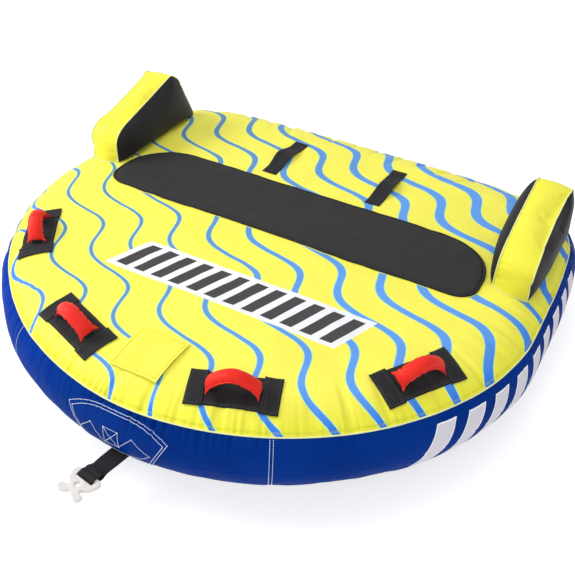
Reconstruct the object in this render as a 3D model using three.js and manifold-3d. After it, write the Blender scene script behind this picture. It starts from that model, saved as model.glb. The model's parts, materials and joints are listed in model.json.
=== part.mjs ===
// Towable deck tube for two riders: an inflated chamber inside a sewn fabric cover, two side
// bolsters, a chest pad, four padded handles, two rear straps, a valve under a flap, a front
// tow strap with a quick connector, and a rear zipper.
// Millimetres, +Z up. The origin is the centre of the flat base. The tow end faces -Y, and the
// body is mirror-symmetric about X = 0.
import * as THREE from 'three';
import { mergeVertices } from 'three/addons/utils/BufferGeometryUtils.js';
import Module from 'manifold-3d';

const wasm = await Module();
wasm.setup();

// ---- Driving dimensions ------------------------------------------------------------------

// Plan outline: two half superellipses that meet on the X axis. Side section: a crown above
// the widest height and a foot below it, each a quarter superellipse.
const BODY = {
  halfWidth: 827, front: 792, rear: 727, frontPower: 1.91, rearPower: 5.2,
  height: 297, widest: 160,
  crownInset: 182, crownPower: 2.27, footInset: 161, footPower: 1.68,
};
const GAP = 0.4;              // clearance between pieces that touch
const COVER_THICKNESS = 2;
// Places round the side section: 0 where the flat deck ends, 1 widest, 2 at the floor.
const DECK_SEAM = 0.593;
const BASE_SEAM = 1.62;
const SEAM_GAP = 0.002;
const COVER_PLACES = [
  0, 0.12, 0.24, 0.36, 0.48, DECK_SEAM, DECK_SEAM + SEAM_GAP, 0.73, 0.87,
  1, 1.2, 1.4, BASE_SEAM, BASE_SEAM + SEAM_GAP, 1.8, 2,
];
const BLADDER_PLACES = [0, 0.24, 0.48, 0.73, 1, 1.4, 1.8, 2];
// Steps round the plan outline. The bladder's corners lie behind the cover's corners, so that
// neither cuts the other.
const COVER_SEGMENTS = 64;
const BLADDER_SEGMENTS = COVER_SEGMENTS / 2;
const BLADDER_OUTER = -5.5;   // offsets from the outside of the body
const BLADDER_INNER = -6.9;
const CUTTER = 2000;          // longer than anything it cuts

const PAD = { halfWidth: 612, front: -20, rear: 250, rearRadius: 170, frontRadius: 65, thickness: 7 };
const BINDING = { width: 8, thickness: 5 };
const STRAP = { x: 184, width: 50, front: 289, rear: 526, sewn: 34, thickness: 2.6, rise: 13 };

const BOLSTER = {
  inner: 638, outer: 738, bulge: 22, bulgeInset: 20, fabric: 2.5, cornerRadius: 34,
  profile: [[86, 220], [79, 376], [115, 407], [406, 477], [449, 445], [515, 318], [566, 220]],
  bladderPort: { y: 300, z: 325, radius: 12 },
};

const PATCH = { length: 225, width: 98, stripWidth: 92, tabLength: 46, thickness: 1.6 };
const HANDLE = {
  halfSpan: 62, archPower: 1.15, axisHeight: 2.2,
  webbingHalfWidth: 12.5, webbingThickness: 3, rootHalfWidth: 4, flare: 0.8,
  sleeveStart: 10, sleeveHalfWidth: 20, sleeveHalfThickness: 15, sleeveRootHalfWidth: 13.5,
  channelHalfWidth: 15.5, channelHalfThickness: 4.2,
};
// angle: heading of the patch; lean: tilt of the arch, outward positive; rise: arch height.
const HANDLES = [
  { x: -588, y: -352, angle: -56.7, rise: 50, lean: -5 },
  { x: -231, y: -621, angle: -20.1, rise: 48, lean: 8 },
  { x: 231, y: -621, angle: 20.1, rise: 54, lean: 0 },
  { x: 588, y: -352, angle: 56.7, rise: 52, lean: 5 },
];

const VALVE = { x: -10, y: -600, hole: 34, flange: 42, neck: 26, bore: 18, stem: 20, cap: 31 };
const FLAP = { halfWidth: 70, rear: -545, front: -690, gap: 3, thickness: 1.5 };

const TOW = {
  z: 98, slotHalfWidth: 28, slotHalfHeight: 5, webbingHalfWidth: 25, webbingThickness: 5,
  pivotY: -783, yaw: -10, length: 92, eyeOuter: 10.6, eyeInner: 8, anchorTop: 205,
  patchFoot: { x: 75, z: 62 }, patchShoulder: { x: 150, z: 204 }, patchTop: 243,
};
const CONNECTOR = { thickness: 11, barHalf: 5, slotHalfWidth: 27, slotEnd: 18, hole: 7.5, holeAt: 34 };
const ZIPPER = { halfLength: 300, z: 130, tapeHalf: 15, toothHalf: 3, sliderX: 280 };

// ---- Materials ---------------------------------------------------------------------------

const material = (color, roughness, metalness = 0) =>
  new THREE.MeshStandardMaterial({ color, roughness, metalness });
const YELLOW = material(0xf2ee3c, 0.62);
const BLUE = material(0x123a9c, 0.6);
const BLACK = material(0x2b292c, 0.8);
const WEBBING = material(0x1d1c1e, 0.85);
const FOAM = material(0x3a383a, 0.9);
const RED = material(0xe3291f, 0.65);
const VINYL = material(0x55585c, 0.45);
const PLASTIC = material(0xeee9df, 0.4);
const ZIP = material(0x19191a, 0.5);

// ---- Meshes and solids -------------------------------------------------------------------

// Welds a geometry into an indexed closed mesh with its faces pointing out.
function weld(source) {
  const bare = source.clone();
  for (const name of Object.keys(bare.attributes)) {
    if (name !== 'position') bare.deleteAttribute(name);
  }
  const merged = mergeVertices(bare, 1e-4);
  const { array } = merged.attributes.position;
  const index = Array.from(merged.index.array);
  const kept = [];
  let volume = 0;
  const [a, b, c] = [new THREE.Vector3(), new THREE.Vector3(), new THREE.Vector3()];
  for (let i = 0; i < index.length; i += 3) {
    const [p, q, r] = index.slice(i, i + 3);
    if (p === q || q === r || r === p) continue;
    kept.push(p, q, r);
    a.fromArray(array, 3 * p);
    b.fromArray(array, 3 * q);
    c.fromArray(array, 3 * r);
    volume += a.dot(b.cross(c));
  }
  merged.setIndex(volume > 0 ? kept : kept.reverse());
  return merged;
}

function toSolid(source) {
  const mesh = weld(source);
  return new wasm.Manifold(new wasm.Mesh({
    numProp: 3,
    vertProperties: new Float32Array(mesh.attributes.position.array),
    triVerts: new Uint32Array(mesh.index.array),
  }));
}

function toGeometry(solid) {
  const { vertProperties, triVerts } = solid.getMesh();
  const geometry = new THREE.BufferGeometry();
  geometry.setAttribute('position', new THREE.BufferAttribute(vertProperties, 3));
  geometry.setIndex(new THREE.BufferAttribute(triVerts, 1));
  return geometry;
}

function node(name, geometry, look) {
  const mesh = new THREE.Mesh(geometry, look);
  mesh.name = name;
  return mesh;
}

const solidNode = (name, solid, look) => node(name, toGeometry(solid), look);

function block(x0, x1, y0, y1, z0, z1) {
  const geometry = new THREE.BoxGeometry(x1 - x0, y1 - y0, z1 - z0);
  geometry.translate((x0 + x1) / 2, (y0 + y1) / 2, (z0 + z1) / 2);
  return toSolid(geometry);
}

// A plan shape made into an upright prism that reaches through the whole crown.
function uprightPrism(shape, curveSegments = 6) {
  const geometry = new THREE.ExtrudeGeometry(shape, { depth: 400, bevelEnabled: false, curveSegments });
  geometry.translate(0, 0, 170);
  return toSolid(geometry);
}

// A shape drawn in X and Z made into a prism along Y, at the front (-1) or rear (1) wall.
function wallPrism(shape, side, curveSegments = 6) {
  const geometry = new THREE.ExtrudeGeometry(shape, { depth: 500, bevelEnabled: false, curveSegments });
  geometry.rotateX(Math.PI / 2);
  geometry.translate(0, side < 0 ? -500 : 1000, 0);
  return toSolid(geometry);
}

// ---- Surface of the inflated body --------------------------------------------------------

function outlinePoint(inset, angle) {
  const [c, s] = [Math.cos(angle), Math.sin(angle)];
  const power = s < 0 ? BODY.frontPower : BODY.rearPower;
  const halfLength = (s < 0 ? BODY.front : BODY.rear) - inset;
  const halfWidth = BODY.halfWidth - inset;
  const radius = (Math.abs(c / halfWidth) ** power + Math.abs(s / halfLength) ** power) ** (-1 / power);
  return [radius * c, radius * s];
}

// A point of the side section, moved outward by offset, as [inset, height].
function sectionPoint(place, offset) {
  const onCrown = place <= 1;
  const turn = Math.min(Math.max(onCrown ? place : place - 1, 0), 1) * Math.PI / 2;
  const reach = onCrown ? BODY.crownInset : BODY.footInset;
  const rise = onCrown ? BODY.height - BODY.widest : BODY.widest;
  const power = onCrown ? BODY.crownPower : BODY.footPower;
  const [out, up] = onCrown ? [Math.sin(turn), Math.cos(turn)] : [Math.cos(turn), Math.sin(turn)];
  const x = Math.max(out, 0) ** (2 / power);
  const y = Math.max(up, 0) ** (2 / power);
  const normal = new THREE.Vector2(x ** (power - 1) / reach, y ** (power - 1) / rise).normalize();
  const sign = onCrown ? 1 : -1;
  return [
    reach * (1 - x) - normal.x * offset,
    BODY.widest + sign * (y * rise + normal.y * offset),
  ];
}

function section(places, offset) {
  return places.map((place) => sectionPoint(place, offset));
}

const coverPlaces = (from, to) => COVER_PLACES.filter((place) => place >= from && place <= to);

// Turns a section of [inset, height] points around the body outline. Points with an infinite
// inset lie on the centre line.
function aroundBody(points, segments = COVER_SEGMENTS) {
  const profile = points.map(([inset, z]) => (
    new THREE.Vector2(inset === Infinity ? 0 : BODY.halfWidth - inset, z)));
  const geometry = new THREE.LatheGeometry(profile, segments);
  const position = geometry.attributes.position;
  for (let i = 0; i < position.count; i += 1) {
    const [x, height, z] = [position.getX(i), position.getY(i), position.getZ(i)];
    const radius = Math.hypot(x, z);
    const [px, py] = radius < 1e-3 ? [0, 0] : outlinePoint(BODY.halfWidth - radius, Math.atan2(z, x));
    position.setXYZ(i, px, py, height);
  }
  return weld(geometry);
}

// The whole body, moved outward by offset, as a solid.
function wholeBody(offset, places, segments) {
  const side = section(places, offset);
  return toSolid(aroundBody([[Infinity, side[0][1]], ...side, [Infinity, side.at(-1)[1]]], segments));
}

const envelopes = new Map();
function envelope(offset) {
  if (!envelopes.has(offset)) envelopes.set(offset, wholeBody(offset, COVER_PLACES, COVER_SEGMENTS));
  return envelopes.get(offset);
}

// A sewn layer: the part of the skin between two offsets that a prism covers.
function layer(prism, gap, thickness) {
  return prism.intersect(envelope(gap + thickness)).subtract(envelope(gap));
}

// The inset of a plan point, by halving the interval.
function insetAt(x, y) {
  let [low, high] = [0, BODY.rear - 1];
  for (let i = 0; i < 40; i += 1) {
    const middle = (low + high) / 2;
    const power = y < 0 ? BODY.frontPower : BODY.rearPower;
    const halfLength = (y < 0 ? BODY.front : BODY.rear) - middle;
    const level = Math.abs(x / (BODY.halfWidth - middle)) ** power + Math.abs(y / halfLength) ** power;
    if (level > 1) high = middle;
    else low = middle;
  }
  return low;
}

function deckHeight(x, y) {
  const outward = Math.max(0, 1 - insetAt(x, y) / BODY.crownInset);
  const rise = (1 - outward ** BODY.crownPower) ** (1 / BODY.crownPower);
  return BODY.widest + (BODY.height - BODY.widest) * rise;
}

// ---- Cover and chamber -------------------------------------------------------------------

const valveHole = (radius, top) => {
  const geometry = new THREE.CylinderGeometry(radius, radius, 120, 32);
  geometry.rotateX(Math.PI / 2);
  geometry.translate(VALVE.x, VALVE.y, top - 60);
  return toSolid(geometry);
};

function deckCover() {
  const places = coverPlaces(0, DECK_SEAM);
  const outer = section(places, 0);
  const inner = section(places, -COVER_THICKNESS).reverse();
  const points = [[Infinity, outer[0][1]], ...outer, ...inner, [Infinity, inner.at(-1)[1]]];
  return toSolid(aroundBody(points)).subtract(valveHole(VALVE.hole, 330));
}

function sideWall() {
  const places = coverPlaces(DECK_SEAM + SEAM_GAP, BASE_SEAM);
  const outer = section(places, 0);
  const inner = section(places, -COVER_THICKNESS).reverse();
  return toSolid(aroundBody([...outer, ...inner, outer[0]])).subtract(towSlot());
}

function basePanel() {
  const places = coverPlaces(BASE_SEAM + SEAM_GAP, 2);
  const outer = section(places, 0).reverse();
  const inner = section(places, -COVER_THICKNESS);
  return aroundBody([[Infinity, outer[0][1]], ...outer, ...inner, [Infinity, inner.at(-1)[1]]]);
}

function mainBladder() {
  const shell = (offset) => wholeBody(offset, BLADDER_PLACES, BLADDER_SEGMENTS);
  return shell(BLADDER_OUTER).subtract(shell(BLADDER_INNER)).subtract(valveHole(VALVE.stem + 4, 330));
}

// ---- Pad and rear straps -----------------------------------------------------------------

function padShape(shrink) {
  const half = PAD.halfWidth - shrink;
  const [front, rear] = [PAD.front + shrink, PAD.rear - shrink];
  const [frontRadius, rearRadius] = [PAD.frontRadius - shrink, PAD.rearRadius - shrink];
  const shape = new THREE.Shape();
  shape.moveTo(-half + frontRadius, front);
  shape.absarc(half - frontRadius, front + frontRadius, frontRadius, -Math.PI / 2, 0);
  shape.absarc(half - rearRadius, rear - rearRadius, rearRadius, 0, Math.PI / 2);
  shape.absarc(-half + rearRadius, rear - rearRadius, rearRadius, Math.PI / 2, Math.PI);
  shape.absarc(-half + frontRadius, front + frontRadius, frontRadius, Math.PI, 1.5 * Math.PI);
  return shape;
}

function padNodes() {
  const core = layer(uprightPrism(padShape(BINDING.width + GAP)), GAP, PAD.thickness);
  const binding = layer(
    uprightPrism(padShape(0)).subtract(uprightPrism(padShape(BINDING.width))), GAP, BINDING.thickness);
  return [solidNode('body_pad', core, FOAM), solidNode('body_pad_binding', binding, BLACK)];
}

// A webbing strap sewn flat at both ends and bowed up between them.
function rearStrap(side) {
  const steps = 14;
  const free = STRAP.rear - STRAP.front - 2 * STRAP.sewn;
  const base = BODY.height + GAP;
  const bow = (y) => {
    const along = (y - STRAP.front - STRAP.sewn) / free;
    return along <= 0 || along >= 1 ? base : base + STRAP.rise * Math.sin(Math.PI * along) ** 2;
  };
  const stations = [STRAP.front];
  for (let i = 0; i <= steps; i += 1) stations.push(STRAP.front + STRAP.sewn + free * i / steps);
  stations.push(STRAP.rear);
  const shape = new THREE.Shape();
  stations.forEach((y, i) => (i ? shape.lineTo(y, bow(y)) : shape.moveTo(y, bow(y))));
  [...stations].reverse().forEach((y) => shape.lineTo(y, bow(y) + STRAP.thickness));
  const geometry = new THREE.ExtrudeGeometry(shape, { depth: STRAP.width, bevelEnabled: false });
  geometry.rotateX(Math.PI / 2);
  geometry.rotateZ(Math.PI / 2);
  geometry.translate(side * STRAP.x - STRAP.width / 2, 0, 0);
  return weld(geometry);
}

// ---- Side bolsters -----------------------------------------------------------------------

// Moves each edge of an open profile inward by distance; the first and last points slide along.
function shrinkProfile(points, distance) {
  const edges = points.slice(1).map(([y1, z1], i) => {
    const [y0, z0] = points[i];
    const length = Math.hypot(y1 - y0, z1 - z0);
    const normal = [(z1 - z0) / length, -(y1 - y0) / length];
    return { at: [y0 + normal[0] * distance, z0 + normal[1] * distance], along: [y1 - y0, z1 - z0] };
  });
  return points.map((point, i) => {
    if (i === 0) return [edges[0].at[0], point[1]];
    const last = edges[i - 1];
    if (i === edges.length) {
      const scale = (point[1] - last.at[1]) / last.along[1];
      return [last.at[0] + last.along[0] * scale, point[1]];
    }
    const next = edges[i];
    const cross = last.along[0] * next.along[1] - last.along[1] * next.along[0];
    const [dy, dz] = [next.at[0] - last.at[0], next.at[1] - last.at[1]];
    const scale = (dy * next.along[1] - dz * next.along[0]) / cross;
    return [last.at[0] + last.along[0] * scale, last.at[1] + last.along[1] * scale];
  });
}

function roundedShape(points, radius) {
  const shape = new THREE.Shape();
  shape.moveTo(...points[0]);
  for (let i = 1; i < points.length - 1; i += 1) {
    const corner = new THREE.Vector2(...points[i]);
    const toward = (other) => {
      const leg = new THREE.Vector2(...other).sub(corner);
      return corner.clone().addScaledVector(leg, Math.min(radius / leg.length(), 0.45));
    };
    const [start, end] = [toward(points[i - 1]), toward(points[i + 1])];
    shape.lineTo(start.x, start.y);
    shape.quadraticCurveTo(corner.x, corner.y, end.x, end.y);
  }
  shape.lineTo(...points.at(-1));
  return shape;
}

// The puffed form of one bolster at +X, shrunk by distance on every face, as a solid.
function bolsterForm(distance) {
  const { inner, outer, bulge, bulgeInset, cornerRadius, profile } = BOLSTER;
  const shape = roundedShape(shrinkProfile(profile, distance), cornerRadius);
  const geometry = new THREE.ExtrudeGeometry(shape, {
    depth: outer - inner, curveSegments: 3, bevelEnabled: true, bevelSegments: 2,
    bevelThickness: bulge - distance, bevelSize: bulgeInset, bevelOffset: -bulgeInset,
  });
  geometry.rotateX(Math.PI / 2);
  geometry.rotateZ(Math.PI / 2);
  geometry.translate(inner, 0, 0);
  return toSolid(geometry);
}

function mirrored(solid, side) {
  const geometry = toGeometry(solid);
  geometry.scale(side, 1, 1);
  return weld(geometry);
}

function bolsterNodes() {
  const { inner, outer, bulge, fabric, bladderPort } = BOLSTER;
  const cover = bolsterForm(0).subtract(bolsterForm(fabric)).subtract(envelope(GAP));
  const slab = (from, to) => block(from, to, -CUTTER, CUTTER, 0, CUTTER);
  const band = cover.intersect(slab(inner, outer));
  const innerPanel = cover.intersect(slab(inner - bulge - 1, inner - GAP));
  const outerPanel = cover.intersect(slab(outer + GAP, outer + bulge + 1));
  const port = new THREE.CylinderGeometry(bladderPort.radius, bladderPort.radius, 400, 20);
  port.translate((inner + outer) / 2, bladderPort.y + 200, bladderPort.z);
  const bladder = bolsterForm(fabric + GAP).subtract(envelope(2 * GAP))
    .subtract(bolsterForm(fabric + 2).subtract(envelope(3)))
    .subtract(toSolid(port));
  return [['left', -1], ['right', 1]].flatMap(([name, side]) => [
    node(`bolster_${name}_band`, mirrored(band, side), YELLOW),
    node(`bolster_${name}_inner_panel`, mirrored(innerPanel, side), BLACK),
    node(`bolster_${name}_outer_panel`, mirrored(outerPanel, side), BLACK),
    node(`bolster_${name}_bladder`, mirrored(bladder, side), VINYL),
  ]);
}

// ---- Handles -----------------------------------------------------------------------------

// The axes of one handle: along the patch, across it (outward) and away from the deck, with
// the arch plane leaned about the first axis.
function handleFrame({ x, y, angle, lean }) {
  const heading = THREE.MathUtils.degToRad(angle);
  const along = new THREE.Vector3(Math.cos(heading), Math.sin(heading), 0);
  const outward = new THREE.Vector3(Math.sin(heading), -Math.cos(heading), 0);
  const reach = PATCH.width / 4;
  const slope = (deckHeight(x + outward.x * reach, y + outward.y * reach)
    - deckHeight(x - outward.x * reach, y - outward.y * reach)) / (2 * reach);
  outward.z = slope;
  outward.normalize();
  const normal = new THREE.Vector3().crossVectors(outward, along);
  if (normal.z < 0) normal.negate();
  const tilt = THREE.MathUtils.degToRad(lean);
  const upward = normal.clone().multiplyScalar(Math.cos(tilt)).addScaledVector(outward, Math.sin(tilt));
  const level = deckHeight(x, y) + GAP + PATCH.thickness;
  const origin = new THREE.Vector3(x, y, level).addScaledVector(normal, HANDLE.axisHeight);
  return { along, upward, origin };
}

function rectangle(x, y, angle, from, to, width) {
  const heading = THREE.MathUtils.degToRad(angle);
  const [c, s] = [Math.cos(heading), Math.sin(heading)];
  const corners = [[from, -width / 2], [to, -width / 2], [to, width / 2], [from, width / 2]];
  return new THREE.Shape(corners.map(([a, b]) => new THREE.Vector2(x + a * c - b * s, y + a * s + b * c)));
}

// Bends a geometry built along its Y axis (from -1 to 1) onto the arch of a handle.
// scaleAt gives the half width and half thickness at a height above the root.
function bendToArch(geometry, { along, upward, origin }, rise, startTurn, scaleAt) {
  const position = geometry.attributes.position;
  const across = new THREE.Vector3().crossVectors(along, upward);
  for (let i = 0; i < position.count; i += 1) {
    const turn = Math.PI / 2 + position.getY(i) * (Math.PI / 2 - startTurn);
    const height = rise * Math.max(Math.sin(turn), 0) ** HANDLE.archPower;
    const centre = -HANDLE.halfSpan * Math.cos(turn);
    const climb = HANDLE.archPower * rise * Math.max(Math.sin(turn), 1e-6) ** (HANDLE.archPower - 1)
      * Math.cos(turn);
    const tangent = new THREE.Vector2(HANDLE.halfSpan * Math.sin(turn), climb).normalize();
    const [halfWidth, halfThickness] = scaleAt(height, Math.hypot(position.getX(i), position.getZ(i)));
    const width = position.getX(i) * halfWidth;
    const depth = position.getZ(i) * halfThickness;
    const point = origin.clone()
      .addScaledVector(along, centre - tangent.y * depth)
      .addScaledVector(upward, height + tangent.x * depth)
      .addScaledVector(across, width);
    position.setXYZ(i, point.x, point.y, point.z);
  }
  return weld(geometry);
}

function archWebbing(frame, rise) {
  const geometry = new THREE.BoxGeometry(2, 2, 2, 1, 12, 1);
  const { webbingHalfWidth, webbingThickness, rootHalfWidth, flare } = HANDLE;
  return bendToArch(geometry, frame, rise, 0, (height) => (
    [Math.min(webbingHalfWidth, rootHalfWidth + flare * height), webbingThickness / 2]));
}

function archSleeve(frame, rise) {
  const stations = [];
  const steps = 10;
  for (let i = 0; i <= steps; i += 1) stations.push(-1 + 2 * i / steps);
  const outer = stations.map((s) => new THREE.Vector2(1, s));
  const channel = [...stations].reverse().map((s) => new THREE.Vector2(0.5, s));
  const geometry = new THREE.LatheGeometry([...outer, ...channel, outer[0]], 10);
  const startTurn = Math.asin((HANDLE.sleeveStart / rise) ** (1 / HANDLE.archPower));
  return bendToArch(geometry, frame, rise, startTurn, (height, radius) => {
    if (radius < 0.75) return [HANDLE.channelHalfWidth * 2, HANDLE.channelHalfThickness * 2];
    const spread = HANDLE.sleeveRootHalfWidth + HANDLE.flare * (height - HANDLE.sleeveStart);
    return [Math.min(HANDLE.sleeveHalfWidth, spread), HANDLE.sleeveHalfThickness];
  });
}

function handleNodes(handle, number) {
  const { x, y, angle, rise } = handle;
  const half = PATCH.length / 2;
  const strip = rectangle(x, y, angle, 2 - half, half - 2, PATCH.stripWidth);
  const frame = handleFrame(handle);
  const tab = (from, to) => layer(
    uprightPrism(rectangle(x, y, angle, from, to, PATCH.width)), PATCH.thickness + 2 * GAP, PATCH.thickness);
  return [
    solidNode(`handle_${number}_patch`, layer(uprightPrism(strip), GAP, PATCH.thickness), WEBBING),
    solidNode(`handle_${number}_left_tab`, tab(-half, PATCH.tabLength - half), BLACK),
    solidNode(`handle_${number}_right_tab`, tab(half - PATCH.tabLength, half), BLACK),
    node(`handle_${number}_webbing`, archWebbing(frame, rise), WEBBING),
    node(`handle_${number}_sleeve`, archSleeve(frame, rise), RED),
  ];
}

// ---- Valve and flap ----------------------------------------------------------------------

function turned(points, segments = 24) {
  const geometry = new THREE.LatheGeometry(points.map(([r, z]) => new THREE.Vector2(r, z)), segments);
  geometry.rotateX(Math.PI / 2);
  geometry.translate(VALVE.x, VALVE.y, BODY.height);
  return weld(geometry);
}

function valveNodes() {
  const { flange, neck, bore, stem, cap, x } = VALVE;
  const body = turned([
    [bore, -0.6], [neck, -0.6], [neck, -4.1], [flange, -4.1], [flange, -5.1], [stem, -5.1], [stem, -34],
    [bore, -34], [bore, -0.6],
  ]);
  const plug = bore - 1;
  const lid = turned([[0, 1.2], [cap - 1.5, 1.2], [cap, 0.6], [cap, -0.1], [plug, -0.1], [plug, -14],
    [0, -14]]);
  const flapShape = rectangle(x, (FLAP.rear + FLAP.front) / 2, 0, -FLAP.halfWidth, FLAP.halfWidth,
    FLAP.rear - FLAP.front);
  return [
    node('valve_body', body, VINYL),
    node('valve_cap', lid, VINYL),
    solidNode('valve_flap', layer(uprightPrism(flapShape), FLAP.gap, FLAP.thickness), YELLOW),
  ];
}

// ---- Tow point ---------------------------------------------------------------------------

function towSlot() {
  return block(-TOW.slotHalfWidth, TOW.slotHalfWidth, -900, -700,
    TOW.z - TOW.slotHalfHeight, TOW.z + TOW.slotHalfHeight);
}

// The sewn reinforcement round the tow point: an arched top under the deck seam, and sides
// that run in toward the base.
function towPatchShape() {
  const { patchFoot, patchShoulder, patchTop } = TOW;
  const shape = new THREE.Shape();
  shape.moveTo(-patchFoot.x, patchFoot.z);
  shape.lineTo(patchFoot.x, patchFoot.z);
  shape.lineTo(patchShoulder.x, patchShoulder.z);
  shape.quadraticCurveTo(0.6 * patchShoulder.x, patchTop, 0, patchTop);
  shape.quadraticCurveTo(-0.6 * patchShoulder.x, patchTop, -patchShoulder.x, patchShoulder.z);
  shape.lineTo(-patchFoot.x, patchFoot.z);
  return shape;
}

function inTowFrame(geometry) {
  geometry.rotateZ(THREE.MathUtils.degToRad(TOW.yaw));
  geometry.translate(0, TOW.pivotY, TOW.z);
  return weld(geometry);
}

function towStrap() {
  const { length, eyeOuter, eyeInner, webbingThickness, webbingHalfWidth } = TOW;
  const half = webbingThickness / 2;
  const meet = Math.asin(half / eyeOuter);
  const shape = new THREE.Shape();
  shape.absarc(0, 0, half, Math.PI / 2, 1.5 * Math.PI);
  shape.absarc(length, 0, eyeOuter, Math.PI + meet, 3 * Math.PI - meet);
  shape.holes.push(new THREE.Path().absarc(length, 0, eyeInner, 0, 2 * Math.PI));
  const geometry = new THREE.ExtrudeGeometry(shape, {
    depth: 2 * webbingHalfWidth, bevelEnabled: false, curveSegments: 12,
  });
  geometry.translate(0, 0, -webbingHalfWidth);
  geometry.rotateX(Math.PI / 2);
  geometry.rotateZ(-Math.PI / 2);
  return inTowFrame(geometry);
}

// A wishbone plate: a rear bar for the strap, a slot, a round hole and two splayed horns.
function towConnector() {
  const { thickness, barHalf, slotHalfWidth, slotEnd, hole, holeAt } = CONNECTOR;
  const shape = new THREE.Shape();
  shape.moveTo(-30, -barHalf);
  shape.lineTo(30, -barHalf);
  shape.quadraticCurveTo(42, -barHalf, 42, 9);
  shape.quadraticCurveTo(40, 30, 17, 45);
  shape.quadraticCurveTo(22, 51, 33, 50);
  shape.quadraticCurveTo(43, 60, 32, 70);
  shape.quadraticCurveTo(18, 72, 8, 62);
  shape.quadraticCurveTo(0, 55, -8, 62);
  shape.quadraticCurveTo(-18, 72, -32, 70);
  shape.quadraticCurveTo(-43, 60, -33, 50);
  shape.quadraticCurveTo(-22, 51, -17, 45);
  shape.quadraticCurveTo(-40, 30, -42, 9);
  shape.quadraticCurveTo(-42, -barHalf, -30, -barHalf);
  const slot = new THREE.Path();
  slot.moveTo(-slotHalfWidth, barHalf);
  slot.lineTo(slotHalfWidth, barHalf);
  slot.lineTo(slotHalfWidth, slotEnd);
  slot.lineTo(-slotHalfWidth, slotEnd);
  slot.lineTo(-slotHalfWidth, barHalf);
  shape.holes.push(slot, new THREE.Path().absarc(0, holeAt, hole, 0, 2 * Math.PI));
  const geometry = new THREE.ExtrudeGeometry(shape, {
    depth: thickness, bevelEnabled: false, curveSegments: 6,
  });
  geometry.translate(0, TOW.length, -thickness / 2);
  geometry.rotateX(Math.PI);
  return inTowFrame(geometry);
}

function towNodes() {
  const anchorShape = new THREE.Shape([[-25, TOW.z - 12], [25, TOW.z - 12], [25, TOW.anchorTop],
    [-25, TOW.anchorTop]].map(([x, z]) => new THREE.Vector2(x, z)));
  const half = TOW.webbingThickness / 2;
  const tongue = block(-TOW.webbingHalfWidth, TOW.webbingHalfWidth, -775, -767,
    TOW.z - half, TOW.z + half);
  const anchor = layer(wallPrism(anchorShape, -1), -4.8, 2).add(tongue);
  const patch = layer(wallPrism(towPatchShape(), -1), GAP, 1.4).subtract(towSlot());
  return [
    solidNode('tow_anchor_webbing', anchor, WEBBING),
    solidNode('tow_reinforcement_patch', patch, BLUE),
    node('tow_strap', towStrap(), WEBBING),
    node('tow_connector', towConnector(), PLASTIC),
  ];
}

// ---- Rear zipper -------------------------------------------------------------------------

function zipperNodes() {
  const band = (half, length) => new THREE.Shape([[-length, -half], [length, -half], [length, half],
    [-length, half]].map(([x, z]) => new THREE.Vector2(x, ZIPPER.z + z)));
  const { halfLength, tapeHalf, toothHalf, z, sliderX } = ZIPPER;
  const tape = layer(wallPrism(band(tapeHalf, halfLength), 1), GAP, 1.2)
    .add(layer(wallPrism(band(toothHalf, halfLength), 1), GAP, 2.6));
  const face = BODY.rear + 1;
  const slider = block(sliderX - 6, sliderX + 6, face, face + 4, z - 7, z + 7)
    .add(block(sliderX - 2, sliderX + 2, face + 3, face + 9, z - 2, z + 5))
    .subtract(block(sliderX - 8, sliderX + 8, face + 4.3, face + 7.5, z - 0.8, z + 3));
  const pull = block(sliderX - 5, sliderX + 5, face + 5, face + 6.8, z - 34, z + 2)
    .subtract(block(sliderX - 2.6, sliderX + 2.6, face, face + 10, z - 6, z));
  return [
    solidNode('zipper_tape', tape, ZIP),
    solidNode('zipper_slider', slider, ZIP),
    solidNode('zipper_pull', pull, ZIP),
  ];
}

// ---- Assembly ----------------------------------------------------------------------------

const tube = new THREE.Group();
tube.add(
  solidNode('deck_cover', deckCover(), YELLOW),
  solidNode('side_wall', sideWall(), BLUE),
  node('base_panel', basePanel(), BLACK),
  solidNode('main_bladder', mainBladder(), VINYL),
  ...bolsterNodes(),
  ...padNodes(),
  node('rear_strap_left', rearStrap(-1), WEBBING),
  node('rear_strap_right', rearStrap(1), WEBBING),
  ...HANDLES.flatMap((handle, i) => handleNodes(handle, i + 1)),
  ...valveNodes(),
  ...towNodes(),
  ...zipperNodes(),
);

export default tube;
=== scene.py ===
import json
import math

import bmesh
import bpy
import numpy as np
from mathutils import Matrix, Vector


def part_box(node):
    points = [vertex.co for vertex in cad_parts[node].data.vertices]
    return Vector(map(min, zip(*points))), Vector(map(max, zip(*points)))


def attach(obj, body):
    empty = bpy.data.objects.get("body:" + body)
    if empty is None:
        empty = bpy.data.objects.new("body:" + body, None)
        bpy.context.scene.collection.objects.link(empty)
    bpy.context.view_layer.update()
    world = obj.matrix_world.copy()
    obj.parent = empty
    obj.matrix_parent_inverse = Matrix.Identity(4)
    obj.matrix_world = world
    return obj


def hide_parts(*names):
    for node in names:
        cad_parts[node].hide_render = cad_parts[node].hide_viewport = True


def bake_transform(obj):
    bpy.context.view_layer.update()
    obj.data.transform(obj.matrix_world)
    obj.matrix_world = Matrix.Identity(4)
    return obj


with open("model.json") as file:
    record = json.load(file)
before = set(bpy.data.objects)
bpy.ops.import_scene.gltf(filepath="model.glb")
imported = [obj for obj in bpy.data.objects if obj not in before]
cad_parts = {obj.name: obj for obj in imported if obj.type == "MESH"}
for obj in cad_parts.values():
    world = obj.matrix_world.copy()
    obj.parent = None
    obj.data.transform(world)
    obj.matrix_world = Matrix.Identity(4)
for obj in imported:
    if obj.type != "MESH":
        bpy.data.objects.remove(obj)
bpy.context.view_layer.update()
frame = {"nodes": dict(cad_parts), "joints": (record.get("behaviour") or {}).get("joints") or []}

NODES = frame["nodes"]
JOINTS = {joint["name"]: joint for joint in frame["joints"]}
MM = 0.001

# ---- Camera, floor and light ---------------------------------------------------------------

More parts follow.
